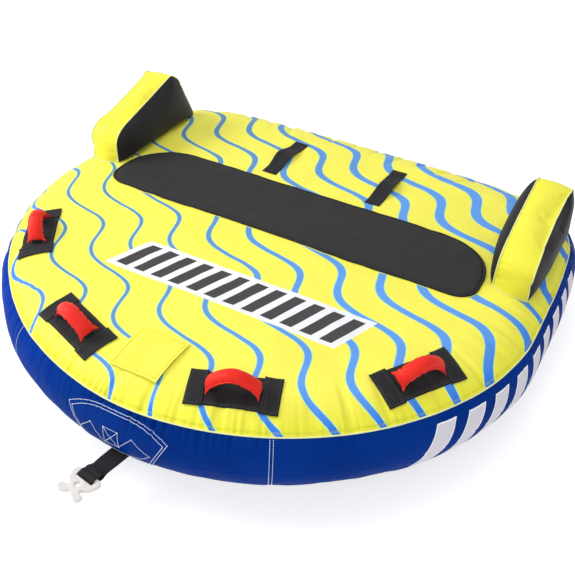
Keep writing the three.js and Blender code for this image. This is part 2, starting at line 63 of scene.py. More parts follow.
CAMERA = {
    "place": (0.9456, -1.8080, 1.6847), "azimuth": 26.38, "elevation": 38.0, "roll": 2.96,
    "lens": 52.09, "sensor": 36.0,
}
FLOOR = {"half": 40, "tone": (0.50, 0.50, 0.50), "glow": 0.67}
SKY = {"tone": (0.97, 0.985, 1), "strength": 0.60}
LIGHTS = [                          # name, place, target, size, power
    ("key", (-3.4, -1.2, 2.5), (0, 0, 0.1), 2.0, 108),
    ("top", (0.2, 0.6, 4.0), (0, 0, 0.2), 2.4, 37),
    ("front", (0.8, -3.6, 2.9), (0, 0, 0.2), 2.2, 37),
]


def add_camera():
    """The camera that was fitted to the photograph."""
    azimuth, elevation, roll = (math.radians(CAMERA[k]) for k in ("azimuth", "elevation", "roll"))
    back = Vector((
        math.sin(azimuth) * math.cos(elevation),
        -math.cos(azimuth) * math.cos(elevation),
        math.sin(elevation),
    ))
    right = Vector((0, 0, 1)).cross(back).normalized()
    up = back.cross(right)
    across = right * math.cos(roll) + up * math.sin(roll)
    upward = up * math.cos(roll) - right * math.sin(roll)
    data = bpy.data.cameras.new("camera")
    data.lens, data.sensor_width = CAMERA["lens"], CAMERA["sensor"]
    data.clip_start, data.clip_end = 0.05, 60
    camera = bpy.data.objects.new("camera", data)
    bpy.context.scene.collection.objects.link(camera)
    camera.matrix_world = Matrix.Translation(CAMERA["place"]) @ Matrix(
        (across, upward, back)).transposed().to_4x4()
    bpy.context.scene.camera = camera


def add_area_light(name, place, target, size, power):
    data = bpy.data.lights.new(name, "AREA")
    data.shape, data.size, data.energy = "DISK", size, power
    light = bpy.data.objects.new(name, data)
    bpy.context.scene.collection.objects.link(light)
    light.location = place
    light.rotation_euler = (Vector(place) - Vector(target)).to_track_quat("Z", "Y").to_euler()


def add_studio():
    """White paper under the tube, a pale sky and three soft lights."""
    mesh = bpy.data.meshes.new("floor")
    half = FLOOR["half"]
    corners = [(-half, -half, 0), (half, -half, 0), (half, half, 0), (-half, half, 0)]
    mesh.from_pydata(corners, [], [(0, 1, 2, 3)])
    floor = bpy.data.objects.new("floor", mesh)
    bpy.context.scene.collection.objects.link(floor)
    material = bpy.data.materials.new("floor_paper")
    material.use_nodes = True
    shader = material.node_tree.nodes["Principled BSDF"]
    shader.inputs["Base Color"].default_value = (*FLOOR["tone"], 1)
    shader.inputs["Roughness"].default_value = 0.9
    shader.inputs["Specular IOR Level"].default_value = 0.1
    shader.inputs["Emission Color"].default_value = (1, 1, 1, 1)
    shader.inputs["Emission Strength"].default_value = FLOOR["glow"]
    mesh.materials.append(material)
    world = bpy.data.worlds.new("studio")
    world.use_nodes = True
    background = world.node_tree.nodes["Background"]
    background.inputs["Color"].default_value = (*SKY["tone"], 1)
    background.inputs["Strength"].default_value = SKY["strength"]
    bpy.context.scene.world = world
    for light in LIGHTS:
        add_area_light(*light)
    bpy.context.scene.view_settings.view_transform = "Standard"


add_camera()
add_studio()

# ---- Surface of the inflated body ----------------------------------------------------------

WALL_LOW, WALL_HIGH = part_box("side_wall")
HALF_WIDTH, FRONT, REAR = WALL_HIGH.x, -WALL_LOW.y, WALL_HIGH.y
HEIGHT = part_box("deck_cover")[1].z
WIDEST = 0.160                      # height of the widest line
FRONT_POWER, REAR_POWER = 1.91, 5.2
CROWN_INSET, CROWN_POWER = 0.182, 2.27
FOOT_INSET, FOOT_POWER = 0.161, 1.68
DECK_SEAM, BASE_SEAM = 0.593, 1.62  # places round the side section: 0 deck, 1 widest, 2 floor
BOTTOM = 2.0
QUARTER = math.pi / 2


def outline(inset, angle):
    """The plan point at a polar angle on the outline, moved in by inset."""
    c, s = np.cos(angle), np.sin(angle)
    power = np.where(s < 0, FRONT_POWER, REAR_POWER)
    length = np.where(s < 0, FRONT, REAR) - inset
    width = HALF_WIDTH - inset
    radius = (np.abs(c / width) ** power + np.abs(s / length) ** power) ** (-1 / power)
    return radius * c, radius * s


def section(place, lift):
    """(inset, height) of a place on the side section, moved outward by lift."""
    crown = place <= 1
    turn = np.clip(np.where(crown, place, place - 1), 0, 1) * QUARTER
    reach = np.where(crown, CROWN_INSET, FOOT_INSET)
    rise = np.where(crown, HEIGHT - WIDEST, WIDEST)
    power = np.where(crown, CROWN_POWER, FOOT_POWER)
    x = np.maximum(np.where(crown, np.sin(turn), np.cos(turn)), 0) ** (2 / power)
    y = np.maximum(np.where(crown, np.cos(turn), np.sin(turn)), 0) ** (2 / power)
    out, up = x ** (power - 1) / reach, y ** (power - 1) / rise
    size = np.hypot(out, up)
    sign = np.where(crown, 1, -1)
    inset = reach * (1 - x) - out / size * lift
    return inset, WIDEST + sign * (y * rise + up / size * lift)


def inset_at(x, y):
    """How far a plan point lies inside the outline."""
    power = np.where(y < 0, FRONT_POWER, REAR_POWER)
    low = np.zeros(np.shape(x))
    high = np.full(np.shape(x), REAR - MM)
    for _ in range(34):
        middle = (low + high) / 2
        length = np.where(y < 0, FRONT, REAR) - middle
        level = np.abs(x / (HALF_WIDTH - middle)) ** power + np.abs(y / length) ** power
        low, high = np.where(level > 1, low, middle), np.where(level > 1, middle, high)
    return low


SEAM_ANGLES = np.linspace(-math.pi, math.pi, 4001)
SEAM_INSET, SEAM_HEIGHT = (float(v) for v in section(np.array(DECK_SEAM), 0.0))
SEAM_X, SEAM_Y = outline(SEAM_INSET, SEAM_ANGLES)
SEAM_STEPS = np.hypot(np.diff(SEAM_X), np.diff(SEAM_Y))
SEAM_ARC = np.concatenate([[0], np.cumsum(SEAM_STEPS)])
SEAM_ARC -= np.interp(-QUARTER, SEAM_ANGLES, SEAM_ARC)
PERIMETER = float(SEAM_STEPS.sum())


def arc_at(angle):
    """Length along the deck seam from the front centre, positive toward +X."""
    wrapped = (angle + math.pi) % (2 * math.pi) - math.pi
    return np.interp(wrapped, SEAM_ANGLES, SEAM_ARC)


def ripple(arc, longest, shortest, seed, terms=14):
    """A smooth random wave round the body, about -1 to 1, with wavelengths in a band."""
    random = np.random.default_rng(seed)
    counts = random.integers(int(PERIMETER / longest), int(PERIMETER / shortest), terms)
    phases = random.uniform(0, 2 * math.pi, terms)
    waves = [np.sin(2 * math.pi * n * arc / PERIMETER + p) for n, p in zip(counts, phases)]
    return sum(waves) / math.sqrt(terms) * 1.1


def billow(x, y, z, longest, shortest, seed, terms=10):
    """A smooth random field in space, about -1 to 1."""
    random = np.random.default_rng(seed)
    total = 0
    for _ in range(terms):
        way = random.normal(size=3)
        way *= 2 * math.pi / random.uniform(shortest, longest) / np.linalg.norm(way)
        total = total + np.sin(way[0] * x + way[1] * y + way[2] * z + random.uniform(0, 2 * math.pi))
    return total / math.sqrt(terms)


def gathers(arc, longest, shortest, seed, terms=14, sharpness=1.2):
    """Separate creases, 0 between them and about 1 at their middles."""
    return np.maximum(ripple(arc, longest, shortest, seed, terms), 0) ** sharpness


def bump(value, centre, width):
    return np.exp(-((value - centre) / width) ** 2)


# Arcs of the wall's upright panel seams. The first two are one double row.
WALL_SEAMS = [0.371, 0.379, -0.405, -1.62, 1.70]
VALVE_X, VALVE_Y = (float(v) for v in JOINTS["valve_cap_turn"]["pos_m"][:2])
# Depths of the relief, in metres. The front and the front right have deeper creases.
SOFT, FINE, SEAM_ROLL = 0.0018, 0.0008, 0.0016
DECK_CREASE, DECK_CREASE_FRONT, LONG_CREASE, HEM_DIP = 0.0030, 0.0024, 0.0058, 0.0016
WALL_GATHER, WALL_GATHER_FRONT, WALL_GATHER_RIGHT, FOOT_GATHER = 0.0018, 0.0018, 0.0048, 0.0016
WALL_SWELL, BELT_DIP, WALL_SEAM_DIP = 0.0012, 0.0014, 0.0012
DEEPEST, HIGHEST = 0.0048, 0.0026


def relief(x, y, place):
    """Height of the sewn and inflated relief above the plain body, in metres."""
    angle = np.arctan2(y, x)
    arc = arc_at(angle)
    height = section(place, 0.0)[1]
    soft = SOFT * billow(x, y, height, 0.42, 0.16, 3)
    fine = FINE * billow(x, y, height, 0.10, 0.045, 4)
    front_right = bump(arc, 0.22, 0.26)
    front = bump(arc, -0.30, 0.90)
    # The deck: short creases that fade away from the seam, and a stitched dip beside it.
    from_seam = np.abs(SEAM_HEIGHT - height) * 1.6
    crease = gathers(arc, 0.036, 0.014, 11, 24)
    long_crease = gathers(arc, 0.13, 0.045, 12, 20, 1.4)
    deck = -(DECK_CREASE + DECK_CREASE_FRONT * front) * crease * np.exp(-from_seam / 0.030)
    deck -= LONG_CREASE * long_crease * np.exp(-from_seam / 0.085)
    deck -= HEM_DIP * bump(from_seam, 0.011, 0.0035)
    # The wall: gathers hang from the deck seam, mostly at the front right, and rise from the base.
    gather = gathers(arc, 0.052, 0.016, 21, 24)
    depth = WALL_GATHER + WALL_GATHER_FRONT * front + WALL_GATHER_RIGHT * front_right
    wall = WALL_SWELL * ripple(arc, 0.20, 0.08, 22) * np.exp(-from_seam / 0.15)
    wall -= depth * gather * np.exp(-from_seam / 0.055)
    wall -= FOOT_GATHER * gather * np.exp(-height / 0.030)
    wall -= BELT_DIP * bump(height, WIDEST - 0.006, 0.0035)
    for seam in WALL_SEAMS:
        wall -= WALL_SEAM_DIP * bump(arc, seam, 0.0030) * (place > DECK_SEAM)
    roll = -SEAM_ROLL * np.exp(-from_seam / 0.005)
    held = 1 - np.exp(-from_seam / 0.0035)
    steady = 1 - bump(np.hypot(x - VALVE_X, y - VALVE_Y), 0, 0.075)
    crown = np.clip(place / 0.25, 0, 1)
    raised = np.where(place <= DECK_SEAM, deck * crown, wall) * held + roll + soft + fine
    room = np.where(raised < 0, DEEPEST, HIGHEST)
    raised = room * np.tanh(raised / room)
    return raised * np.clip(steady, 0, 1) * np.clip((BOTTOM - place) / 0.2, 0, 1)


def skin(angle, place, lift=0.0):
    """Points on the body at a polar angle and a place on the side section."""
    angle, place = np.broadcast_arrays(np.asarray(angle, float), np.asarray(place, float))
    x, y = outline(section(place, 0.0)[0], angle)
    inset, z = section(place, relief(x, y, place) + lift)
    x, y = outline(inset, angle)
    return np.stack([x, y, z], -1)


def deck_point(x, y, lift=0.0):
    """Points on the deck above plan points."""
    x, y = np.broadcast_arrays(np.asarray(x, float), np.asarray(y, float))
    outward = np.maximum(0, 1 - inset_at(x, y) / CROWN_INSET)
    place = np.arcsin(np.clip(outward ** (CROWN_POWER / 2), 0, 1)) / QUARTER
    flat = np.stack([x, y, HEIGHT + relief(x, y, np.zeros(x.shape)) + lift], -1)
    curved = skin(np.arctan2(y, x), place, lift)
    return np.where((outward > 0)[..., None], curved, flat)


def place_at(height):
    """The place on the wall at a height above the floor."""
    above = height >= WIDEST
    rise = np.where(above, (height - WIDEST) / (HEIGHT - WIDEST), (WIDEST - height) / WIDEST)
    power = np.where(above, CROWN_POWER, FOOT_POWER)
    turn = np.arccos(np.clip(rise ** (power / 2), 0, 1)) / QUARTER
    return np.where(above, turn, 2 - turn)


def wall_point(x, height, side=-1, lift=0.0):
    """Points on the front (-1) or rear (1) wall at an x and a height."""
    x, height = np.broadcast_arrays(np.asarray(x, float), np.asarray(height, float))
    place = place_at(height)
    inset = section(place, 0.0)[0]
    power, length = (FRONT_POWER, FRONT) if side < 0 else (REAR_POWER, REAR)
    y = side * (length - inset) * (1 - np.abs(x / (HALF_WIDTH - inset)) ** power) ** (1 / power)
    return skin(np.arctan2(y, x), place, lift)


# ---- Meshes --------------------------------------------------------------------------------


def add_piece(name, vertices, faces, *materials, smooth=True):
    mesh = bpy.data.meshes.new(name)
    mesh.from_pydata([tuple(v) for v in np.asarray(vertices, float).reshape(-1, 3)], [], faces)
    mesh.validate()
    for face in mesh.polygons:
        face.use_smooth = smooth
    piece = bpy.data.objects.new(name, mesh)
    bpy.context.scene.collection.objects.link(piece)
    for material in materials:
        mesh.materials.append(material)
    return piece


def grid_faces(rows, columns, start=0, wrap=False, flip=False):
    faces = []
    for i in range(rows - 1):
        for j in range(columns if wrap else columns - 1):
            k = (j + 1) % columns
            face = (i * columns + j, i * columns + k, (i + 1) * columns + k, (i + 1) * columns + j)
            faces.append(tuple(start + v for v in (face[::-1] if flip else face)))
    return faces


def slab(name, top, bottom, material, holes=None):
    """A closed slab between two grids of points. holes is true at the cells that are left open."""
    rows, columns = top.shape[:2]
    count = rows * columns
    cells = [(i, j) for i in range(rows - 1) for j in range(columns - 1)]
    kept = [c for c in cells if holes is None or not holes[c]]
    faces, edges = [], {}
    for i, j in kept:
        ring = [i * columns + j, i * columns + j + 1, (i + 1) * columns + j + 1, (i + 1) * columns + j]
        faces.append(tuple(ring))
        faces.append(tuple(v + count for v in reversed(ring)))
        for a, b in zip(ring, ring[1:] + ring[:1]):
            if (b, a) in edges:
                del edges[b, a]
            else:
                edges[a, b] = True
    faces += [(b, a, a + count, b + count) for a, b in edges]
    piece = add_piece(name, np.concatenate([top.reshape(-1, 3), bottom.reshape(-1, 3)]), faces, material)
    tidy_mesh(piece)
    return piece


def edit_mesh(piece, *changes):
    """Runs changes to a piece's mesh, each a function of the open mesh."""
    shape = bmesh.new()
    shape.from_mesh(piece.data)
    for change in changes:
        change(shape)
    shape.to_mesh(piece.data)
    shape.free()


def drop_loose(shape):
    bmesh.ops.remove_doubles(shape, verts=shape.verts, dist=1e-6)
    bmesh.ops.delete(shape, geom=[v for v in shape.verts if not v.link_faces], context="VERTS")


def face_outward(shape):
    bmesh.ops.recalc_face_normals(shape, faces=shape.faces)


def tidy_mesh(piece):
    """Drops loose points and turns every face outward."""
    edit_mesh(piece, drop_loose, face_outward)


def vertex_array(piece, what="co"):
    """Every vertex's place or normal, one row each."""
    values = np.zeros(len(piece.data.vertices) * 3, np.float32)
    piece.data.vertices.foreach_get(what, values)
    return values.reshape(-1, 3).astype(float)


def move_points(piece, points):
    piece.data.vertices.foreach_set("co", points.astype(np.float32).ravel())
    piece.data.update()


def set_uv(piece, uv):
    """Gives every corner of the mesh its vertex's (u, v), in metres."""
    layer = piece.data.uv_layers.new(name="UVMap")
    index = np.zeros(len(piece.data.loops), int)
    piece.data.loops.foreach_get("vertex_index", index)
    layer.data.foreach_set("uv", uv[index].astype(np.float32).ravel())


def add_modifier(piece, kind, **settings):
    modifier = piece.modifiers.new(kind.lower(), kind)
    for key, value in settings.items():
        setattr(modifier, key, value)
    return modifier


def thicken(piece, thickness):
    add_modifier(piece, "SOLIDIFY", thickness=thickness, offset=-1.0)


def resample(points, step=None, count=None, closed=False):
    """Points at even spacing along a polyline, and their lengths along it."""
    points = np.asarray(points, float)
    if closed:
        points = np.concatenate([points, points[:1]])
    lengths = np.concatenate([[0], np.cumsum(np.linalg.norm(np.diff(points, axis=0), axis=1))])
    count = count or max(2, int(round(lengths[-1] / step)) + 1)
    at = np.linspace(0, lengths[-1], count)
    if closed:
        at = at[:-1]
    return np.stack([np.interp(at, lengths, points[:, k]) for k in range(points.shape[1])], -1), at


def frames_along(points, normals):
    """Tangent, normal and side direction at each point of a line that lies on a surface."""
    tangents = np.gradient(points, axis=0)
    tangents /= np.linalg.norm(tangents, axis=1)[:, None]
    sides = np.cross(tangents, normals)
    sides /= np.linalg.norm(sides, axis=1)[:, None]
    return tangents, np.cross(sides, tangents), sides


def tube(name, points, normals, half_width, half_height, material, closed=False, around=8):
    """An oval tube along a line, which stands for piping, a tape or a cord."""
    points, normals = np.asarray(points), np.asarray(normals)
    if closed:
        wrapped = np.concatenate([points[-2:], points, points[:2]])
        normals_wrapped = np.concatenate([normals[-2:], normals, normals[:2]])
        _, up, side = (v[2:-2] for v in frames_along(wrapped, normals_wrapped))
    else:
        _, up, side = frames_along(points, normals)
    turns = np.arange(around) * 2 * math.pi / around
    rings = (points[:, None] + side[:, None] * (np.cos(turns) * half_width)[None, :, None]
             + up[:, None] * (np.sin(turns) * half_height)[None, :, None])
    faces = grid_faces(len(points), around, wrap=True)
    last = (len(points) - 1) * around
    if closed:
        faces += [(last + j, last + (j + 1) % around, (j + 1) % around, j) for j in range(around)]
    else:
        faces += [tuple(reversed(range(around))), tuple(last + j for j in range(around))]
    piece = add_piece(name, rings, faces, material)
    tidy_mesh(piece)
    return piece


STITCH_SIDES = 6


def stitch_parts(points, normals, pitch, gap, radius, squash=0.6):
    """Vertices and faces of one row of separate stitches along a line on a surface."""
    line, _ = resample(np.concatenate([points, normals], 1), step=pitch / 4)
    points, normals = line[:, :3], line[:, 3:]
    tangents, up, side = frames_along(points, normals)
    vertices, faces = [], []
    turns = np.arange(STITCH_SIDES) * 2 * math.pi / STITCH_SIDES
    for i in range(2, len(points) - 2, 4):
        start = len(vertices)
        half = (pitch - gap) / 2
        for along, swell in ((-half, 0.35), (-half * 0.6, 0.9), (0, 1.0), (half * 0.6, 0.9), (half, 0.35)):
            centre = points[i] + tangents[i] * along + up[i] * radius * squash * (swell - 0.35)
            for turn in turns:
                vertices.append(centre + radius * swell * (
                    side[i] * math.cos(turn) + up[i] * squash * math.sin(turn)))
        faces += grid_faces(5, STITCH_SIDES, start, wrap=True)
        faces.append(tuple(start + j for j in reversed(range(STITCH_SIDES))))
        faces.append(tuple(start + 4 * STITCH_SIDES + j for j in range(STITCH_SIDES)))
    return vertices, faces


def stitching(name, rows, material, pitch=0.0052, gap=0.0014, radius=0.0007):
    """One piece of thread that holds every row of stitches of a seam."""
    vertices, faces = [], []
    for points, normals in rows:
        more, made = stitch_parts(np.asarray(points), np.asarray(normals), pitch, gap, radius)
        faces += [tuple(v + len(vertices) for v in face) for face in made]
        vertices += more
    piece = add_piece(name, vertices, faces, material)
    tidy_mesh(piece)
    return piece


def surface_normals(at, u, v, step=0.0008):
    """Normals of a surface function at(u, v), by differences."""
    du = at(u + step, v) - at(u - step, v)
    dv = at(u, v + step) - at(u, v - step)
    normals = np.cross(du, dv)
    return normals / np.linalg.norm(normals, axis=-1)[..., None]


def deck_normals(x, y):
    normals = surface_normals(deck_point, x, y, 0.002)
    return normals * np.sign(normals[..., 2:])


def deck_row(plan, lift):
    """Points above plan points on the deck and the way out of it at each."""
    x, y = np.asarray(plan).T
    return deck_point(x, y, lift), deck_normals(x, y)


def row_on_deck(plan, lift):
    """A row for stitching along plan points on the deck."""
    return deck_row(resample(plan, step=0.003)[0], lift)


def crossed_box(x0, x1, y0, y1):
    """The two lines of a sewn box with a cross in it."""
    return [(x0, y0), (x1, y0), (x1, y1), (x0, y1), (x0, y0), (x1, y1)], [(x1, y0), (x0, y1)]


def row_on_wall(line, lift, side=-1):
    """A row for stitching along points (x, height) on the front or rear wall."""
    x, height = resample(line, step=0.003)[0].T
    normals = surface_normals(lambda a, b: wall_point(a, b, side), x, height, 0.002)
    return wall_point(x, height, side, lift), normals * np.sign(normals[..., 1:2]) * side


# ---- Materials -----------------------------------------------------------------------------


class Value:
    """A number in a node tree, so that a pattern is written as a formula."""

    def __init__(self, tree, source):
        self.tree, self.source = tree, source

    def math(self, operation, *others):
        node = self.tree.nodes.new("ShaderNodeMath")
        node.operation = operation
        for socket, value in zip(node.inputs, (self, *others)):
            if isinstance(value, Value):
                self.tree.links.new(value.source, socket)
            else:
                socket.default_value = value
        return Value(self.tree, node.outputs[0])

    def __add__(self, other):
        return self.math("ADD", other)

    def __sub__(self, other):
        return self.math("SUBTRACT", other)

    def __mul__(self, other):
        return self.math("MULTIPLY", other)

    def __truediv__(self, other):
        return self.math("DIVIDE", other)

    def sin(self):
        return self.math("SINE")

    def abs(self):
        return self.math("ABSOLUTE")

    def above(self, edge, soft=0.0004):
        """1 where the number is above edge, with a soft step."""
        return ((self - edge) / soft + 0.5).math("MAXIMUM", 0.0).math("MINIMUM", 1.0)

    def below(self, edge, soft=0.0004):
        return self.above(edge, soft) * -1.0 + 1.0


class Look:
    """A node material in the making: its tree, shader and the object's own coordinates."""

    def __init__(self, name, roughness, sheen=0.0, specular=0.5, coat=0.0, ior=1.45):
        self.material = bpy.data.materials.new(name)
        self.material.use_nodes = True
        self.tree = self.material.node_tree
        self.shader = self.tree.nodes["Principled BSDF"]
        self.roughness = roughness
        self.shader.inputs["Sheen Weight"].default_value = sheen
        self.shader.inputs["Sheen Roughness"].default_value = 0.5
        self.shader.inputs["Specular IOR Level"].default_value = specular
        self.shader.inputs["IOR"].default_value = ior
        self.shader.inputs["Coat Weight"].default_value = coat
        self.shader.inputs["Coat Roughness"].default_value = 0.3
        self.space = self.tree.nodes.new("ShaderNodeTexCoord").outputs["Object"]
        self.x, self.y, self.z = self.split(self.space)

    def split(self, vector):
        node = self.tree.nodes.new("ShaderNodeSeparateXYZ")
        self.tree.links.new(vector, node.inputs[0])
        return [Value(self.tree, out) for out in node.outputs]

    def uv(self):
        node = self.tree.nodes.new("ShaderNodeUVMap")
        node.uv_map = "UVMap"
        return self.split(node.outputs[0])[:2]

    def noise(self, size, detail=2.0, rough=0.5):
        node = self.tree.nodes.new("ShaderNodeTexNoise")
        node.inputs["Scale"].default_value = 1 / size
        node.inputs["Detail"].default_value = detail
        node.inputs["Roughness"].default_value = rough
        self.tree.links.new(self.space, node.inputs["Vector"])
        return Value(self.tree, node.outputs["Fac"])

    def mix(self, amount, first, second, blend="MIX"):
        """A colour between two colours. Each is three numbers or a socket."""
        node = self.tree.nodes.new("ShaderNodeMix")
        node.data_type, node.blend_type = "RGBA", blend
        self.tree.links.new(amount.source, node.inputs["Factor"])
        for socket, colour in ((node.inputs[6], first), (node.inputs[7], second)):
            if isinstance(colour, tuple):
                socket.default_value = (*colour, 1)
            else:
                self.tree.links.new(colour, socket)
        return node.outputs[2]

    def shade(self, colour, amount, dark):
        """Multiplies a colour by a factor that goes from 1 to dark."""
        return self.mix(amount, colour, (dark, dark, dark), "MULTIPLY")

    def weave(self, pitch):
        """Height of a plain weave, 0 to 1, on a surface that faces any way."""
        warp = ((self.x + self.z) * (2 * math.pi / pitch)).sin()
        weft = ((self.y - self.z) * (2 * math.pi / pitch)).sin()
        return warp * weft * 0.5 + 0.5

    def finish(self, colour, height, strength, distance, gloss=None):
        """Links colour, bump and a roughness that varies with gloss."""
        self.tree.links.new(colour, self.shader.inputs["Base Color"])
        node = self.tree.nodes.new("ShaderNodeBump")
        node.inputs["Strength"].default_value = strength
        node.inputs["Distance"].default_value = distance
        self.tree.links.new(height.source, node.inputs["Height"])
        self.tree.links.new(node.outputs[0], self.shader.inputs["Normal"])
        gloss = gloss or self.noise(0.02, 3.0)
        self.tree.links.new((gloss * 0.16 + (self.roughness - 0.08)).source, self.shader.inputs["Roughness"])
        return self.material


YELLOW = (0.93, 0.86, 0.098)
# painted shade: the darker yellow of the deck's sloping edge, beside the lighter flat top
YELLOW_SLOPE_PAINTED_SHADE = (0.84, 0.82, 0.035)
LINE_BLUE = (0.120, 0.345, 0.82)
LINE_LEFT = (0.125, 0.245, 0.35)      # the thin lines of the left side look duller
LINE_EDGE = (0.52, 0.86, 0.46)
NAVY = (0.002, 0.036, 0.260)
NAVY_DEEP = (0.001, 0.024, 0.185)
# painted light: the left wall, facing the key light, is coloured a brighter navy than the front
NAVY_LEFT_PAINTED_LIGHT = (0.001, 0.038, 0.370)     # the left wall looks brighter than the front
CHARCOAL = (0.025, 0.023, 0.025)
WHITE = (0.86, 0.86, 0.88)
PALE = (0.66, 0.64, 0.70)


def crease_dirt(look, colour):
    """Slow and fine colour variation that every sewn fabric has."""
    broad = look.noise(0.11, 2.0) * 1.6 - 0.55
    fine = look.noise(0.006, 3.0) * 1.4 - 0.4
    return look.shade(look.shade(colour, broad, 0.90), fine, 0.93)


def fabric(name, colour, second, roughness=0.55, sheen=0.05, specular=0.3, pitch=0.0016, strength=0.25,
           ior=1.45):
    look = Look(name, roughness, sheen, specular, ior=ior)
    blotch = look.noise(0.16, 2.0) * 1.8 - 0.4
    tone = crease_dirt(look, look.mix(blotch, colour, second))
    height = look.weave(pitch) + look.noise(0.012, 3.0) * 1.2
    return look.finish(tone, height, strength, 0.0004)


# The wave print: straight families of lines, moved sideways by two sines.
WAVE = {
    "along": (0.260584, -0.205719), "across": (-0.092738, -0.074436), "start": (-0.434374, -0.012465),
    "sway": 0.291, "phase": 2.305, "second_sway": 0.014, "second_phase": -1.088,
    "half_width": 0.0096, "wider_x": 0.0080, "wider_y": 0.0070, "thinnest": 0.0054, "edge": 0.0030,
}
BAND = {
    "centre": (0.045, -0.300), "half_length": 0.345, "half_height": 0.0575, "slant": 0.39,
    "margin": 0.015, "bars": 12, "stroke": 0.60,
}


def wave_print(look):
    """Returns how much of the line and of its pale edge covers a point of the deck."""
    (ax, ay), (bx, by), (px, py) = WAVE["along"], WAVE["across"], WAVE["start"]
    det = ax * by - ay * bx
    left = (look.x * -1.0 - 0.15).math("MAXIMUM", 0.0)
    front = (look.y / -0.45).math("MAXIMUM", 0.0).math("MINIMUM", 1.0)
    dx, dy = look.x - px - left * (front * 0.085 + 0.04), look.y - py
    s = (dx * by - dy * bx) / det
    t = (dy * ax - dx * ay) / det
    sway = (s * (2 * math.pi) + WAVE["phase"]).sin() * WAVE["sway"]
    sway = sway + (s * (4 * math.pi) + WAVE["second_phase"]).sin() * WAVE["second_sway"]
    u = t - sway
    distance = (u - u.math("ROUND")).abs() * math.hypot(bx, by)
    half = look.x * WAVE["wider_x"] + look.y * WAVE["wider_y"] + WAVE["half_width"]
    half = half.math("MAXIMUM", WAVE["thinnest"])
    line = (half - distance).above(0.0, 0.0008)
    edged = (half - distance + WAVE["edge"]).above(0.0, 0.0010)
    return line, edged


def bar_print(look):
    """A band of plain slanted bars on a white ground: returns the ground and the bars."""
    cx, cy = BAND["centre"]
    down = look.y - cy
    along = look.x - cx - down * BAND["slant"]
    period = 2 * BAND["half_length"] / BAND["bars"]
    phase = ((along + BAND["half_length"]) / period).math("FRACT")
    bars = (phase - 0.5).abs().below(BAND["stroke"] / 2, 0.02)
    inside = along.abs().below(BAND["half_length"]) * down.abs().below(BAND["half_height"])
    reach = BAND["half_length"] + BAND["margin"] - 0.006
    ground = along.abs().below(reach) * down.abs().below(BAND["half_height"] + BAND["margin"])
    return ground, bars * inside


def printed_deck():
    look = Look("deck_print", 0.50, 0.05, 0.4)
    line, edged = wave_print(look)
    ground, bars = bar_print(look)
    # painted light: the deck's sloping edge, below the flat top, takes darker colours than the top
    painted_slope_shade = (look.z * -1.0 + 0.297).above(0.018, 0.05)
    yellow = look.mix(painted_slope_shade, YELLOW, YELLOW_SLOPE_PAINTED_SHADE)
    level_blue = look.mix(look.x.above(-0.10, 0.9), LINE_LEFT, LINE_BLUE)
    # painted shade: the blue lines turn a darker blue on the sloping edge
    blue = look.mix(painted_slope_shade, level_blue, (0.012, 0.20, 0.80))
    tone = look.mix(line, look.mix(edged, yellow, LINE_EDGE), blue)
    tone = look.mix(bars, look.mix(ground, tone, WHITE), (0.045, 0.042, 0.045))
    height = look.weave(0.0016) + look.noise(0.010, 3.0) * 1.6
    return look.finish(crease_dirt(look, tone), height, 0.28, 0.0004)


# The wall print: u runs along the deck seam from the front centre, v is the height.
WALL_BARS = {
    "start": 0.655, "count": 9, "period": 0.094, "stroke": 0.60, "slant": 0.45,
    "low": 0.094, "high": 0.226, "rim": 0.0035,
}


def printed_wall():
    """Blue cloth with one row of plain slanted pale bars on each side."""
    look = Look("wall_print", 0.50, 0.0, 0.08, ior=1.17)
    u, v = look.uv()
    along = u.abs() - v * WALL_BARS["slant"] - WALL_BARS["start"]
    period = WALL_BARS["period"]
    middle = (WALL_BARS["low"] + WALL_BARS["high"]) / 2
    half = (WALL_BARS["high"] - WALL_BARS["low"]) / 2
    off = ((along / period).math("FRACT") - 0.5).abs() * period
    run = along.above(0.0) * along.below(period * WALL_BARS["count"])
    edge = period * WALL_BARS["stroke"] / 2
    outer = off.below(edge) * (v - middle).abs().below(half) * run
    inner = off.below(edge - WALL_BARS["rim"]) * (v - middle).abs().below(half - WALL_BARS["rim"]) * run
    blotch = look.noise(0.20, 2.0) * 1.8 - 0.4
    facing = look.mix(blotch, NAVY, NAVY_DEEP)
    # painted light: the wall left of x = -0.45 takes the brighter navy
    blue = crease_dirt(look, look.mix(look.x.above(-0.45, 0.5), NAVY_LEFT_PAINTED_LIGHT, facing))
    tone = look.mix(inner, look.mix(outer, blue, WHITE), PALE)
    height = look.weave(0.0016) + look.noise(0.010, 3.0) * 1.6
    return look.finish(tone, height, 0.3, 0.0004)


def foam_face():
    look = Look("pad_foam_knit", 0.72, 0.03, 0.2)
    fine = look.noise(0.0022, 4.0, 0.7)
    # painted shade: the low points of the knit are coloured darker than the raised ones
    tone = crease_dirt(look, look.mix(fine, (0.018, 0.017, 0.018), (0.040, 0.037, 0.038)))
    return look.finish(tone, fine * 1.5 + look.weave(0.0028), 0.35, 0.0005)


def webbing(name, colour, rib=0.0030):
    """Flat webbing: ribs across it from its own map, u along and v across."""
    look = Look(name, 0.68, 0.03, 0.2)
    u, v = look.uv()
    ribs = ((u + (v * (math.pi / rib)).sin() * 0.0006) * (2 * math.pi / rib)).sin() * 0.5 + 0.5
    cords = (v * (2 * math.pi / 0.0022)).sin() * 0.5 + 0.5
    height = ribs * 0.7 + cords * 0.6
    # painted highlight: the raised ribs are coloured lighter than the dips between them
    raised_highlight = tuple(c * 1.7 + 0.002 for c in colour)
    tone = crease_dirt(look, look.mix(height * 0.7, colour, raised_highlight))
    return look.finish(tone, height, 0.6, 0.0005)


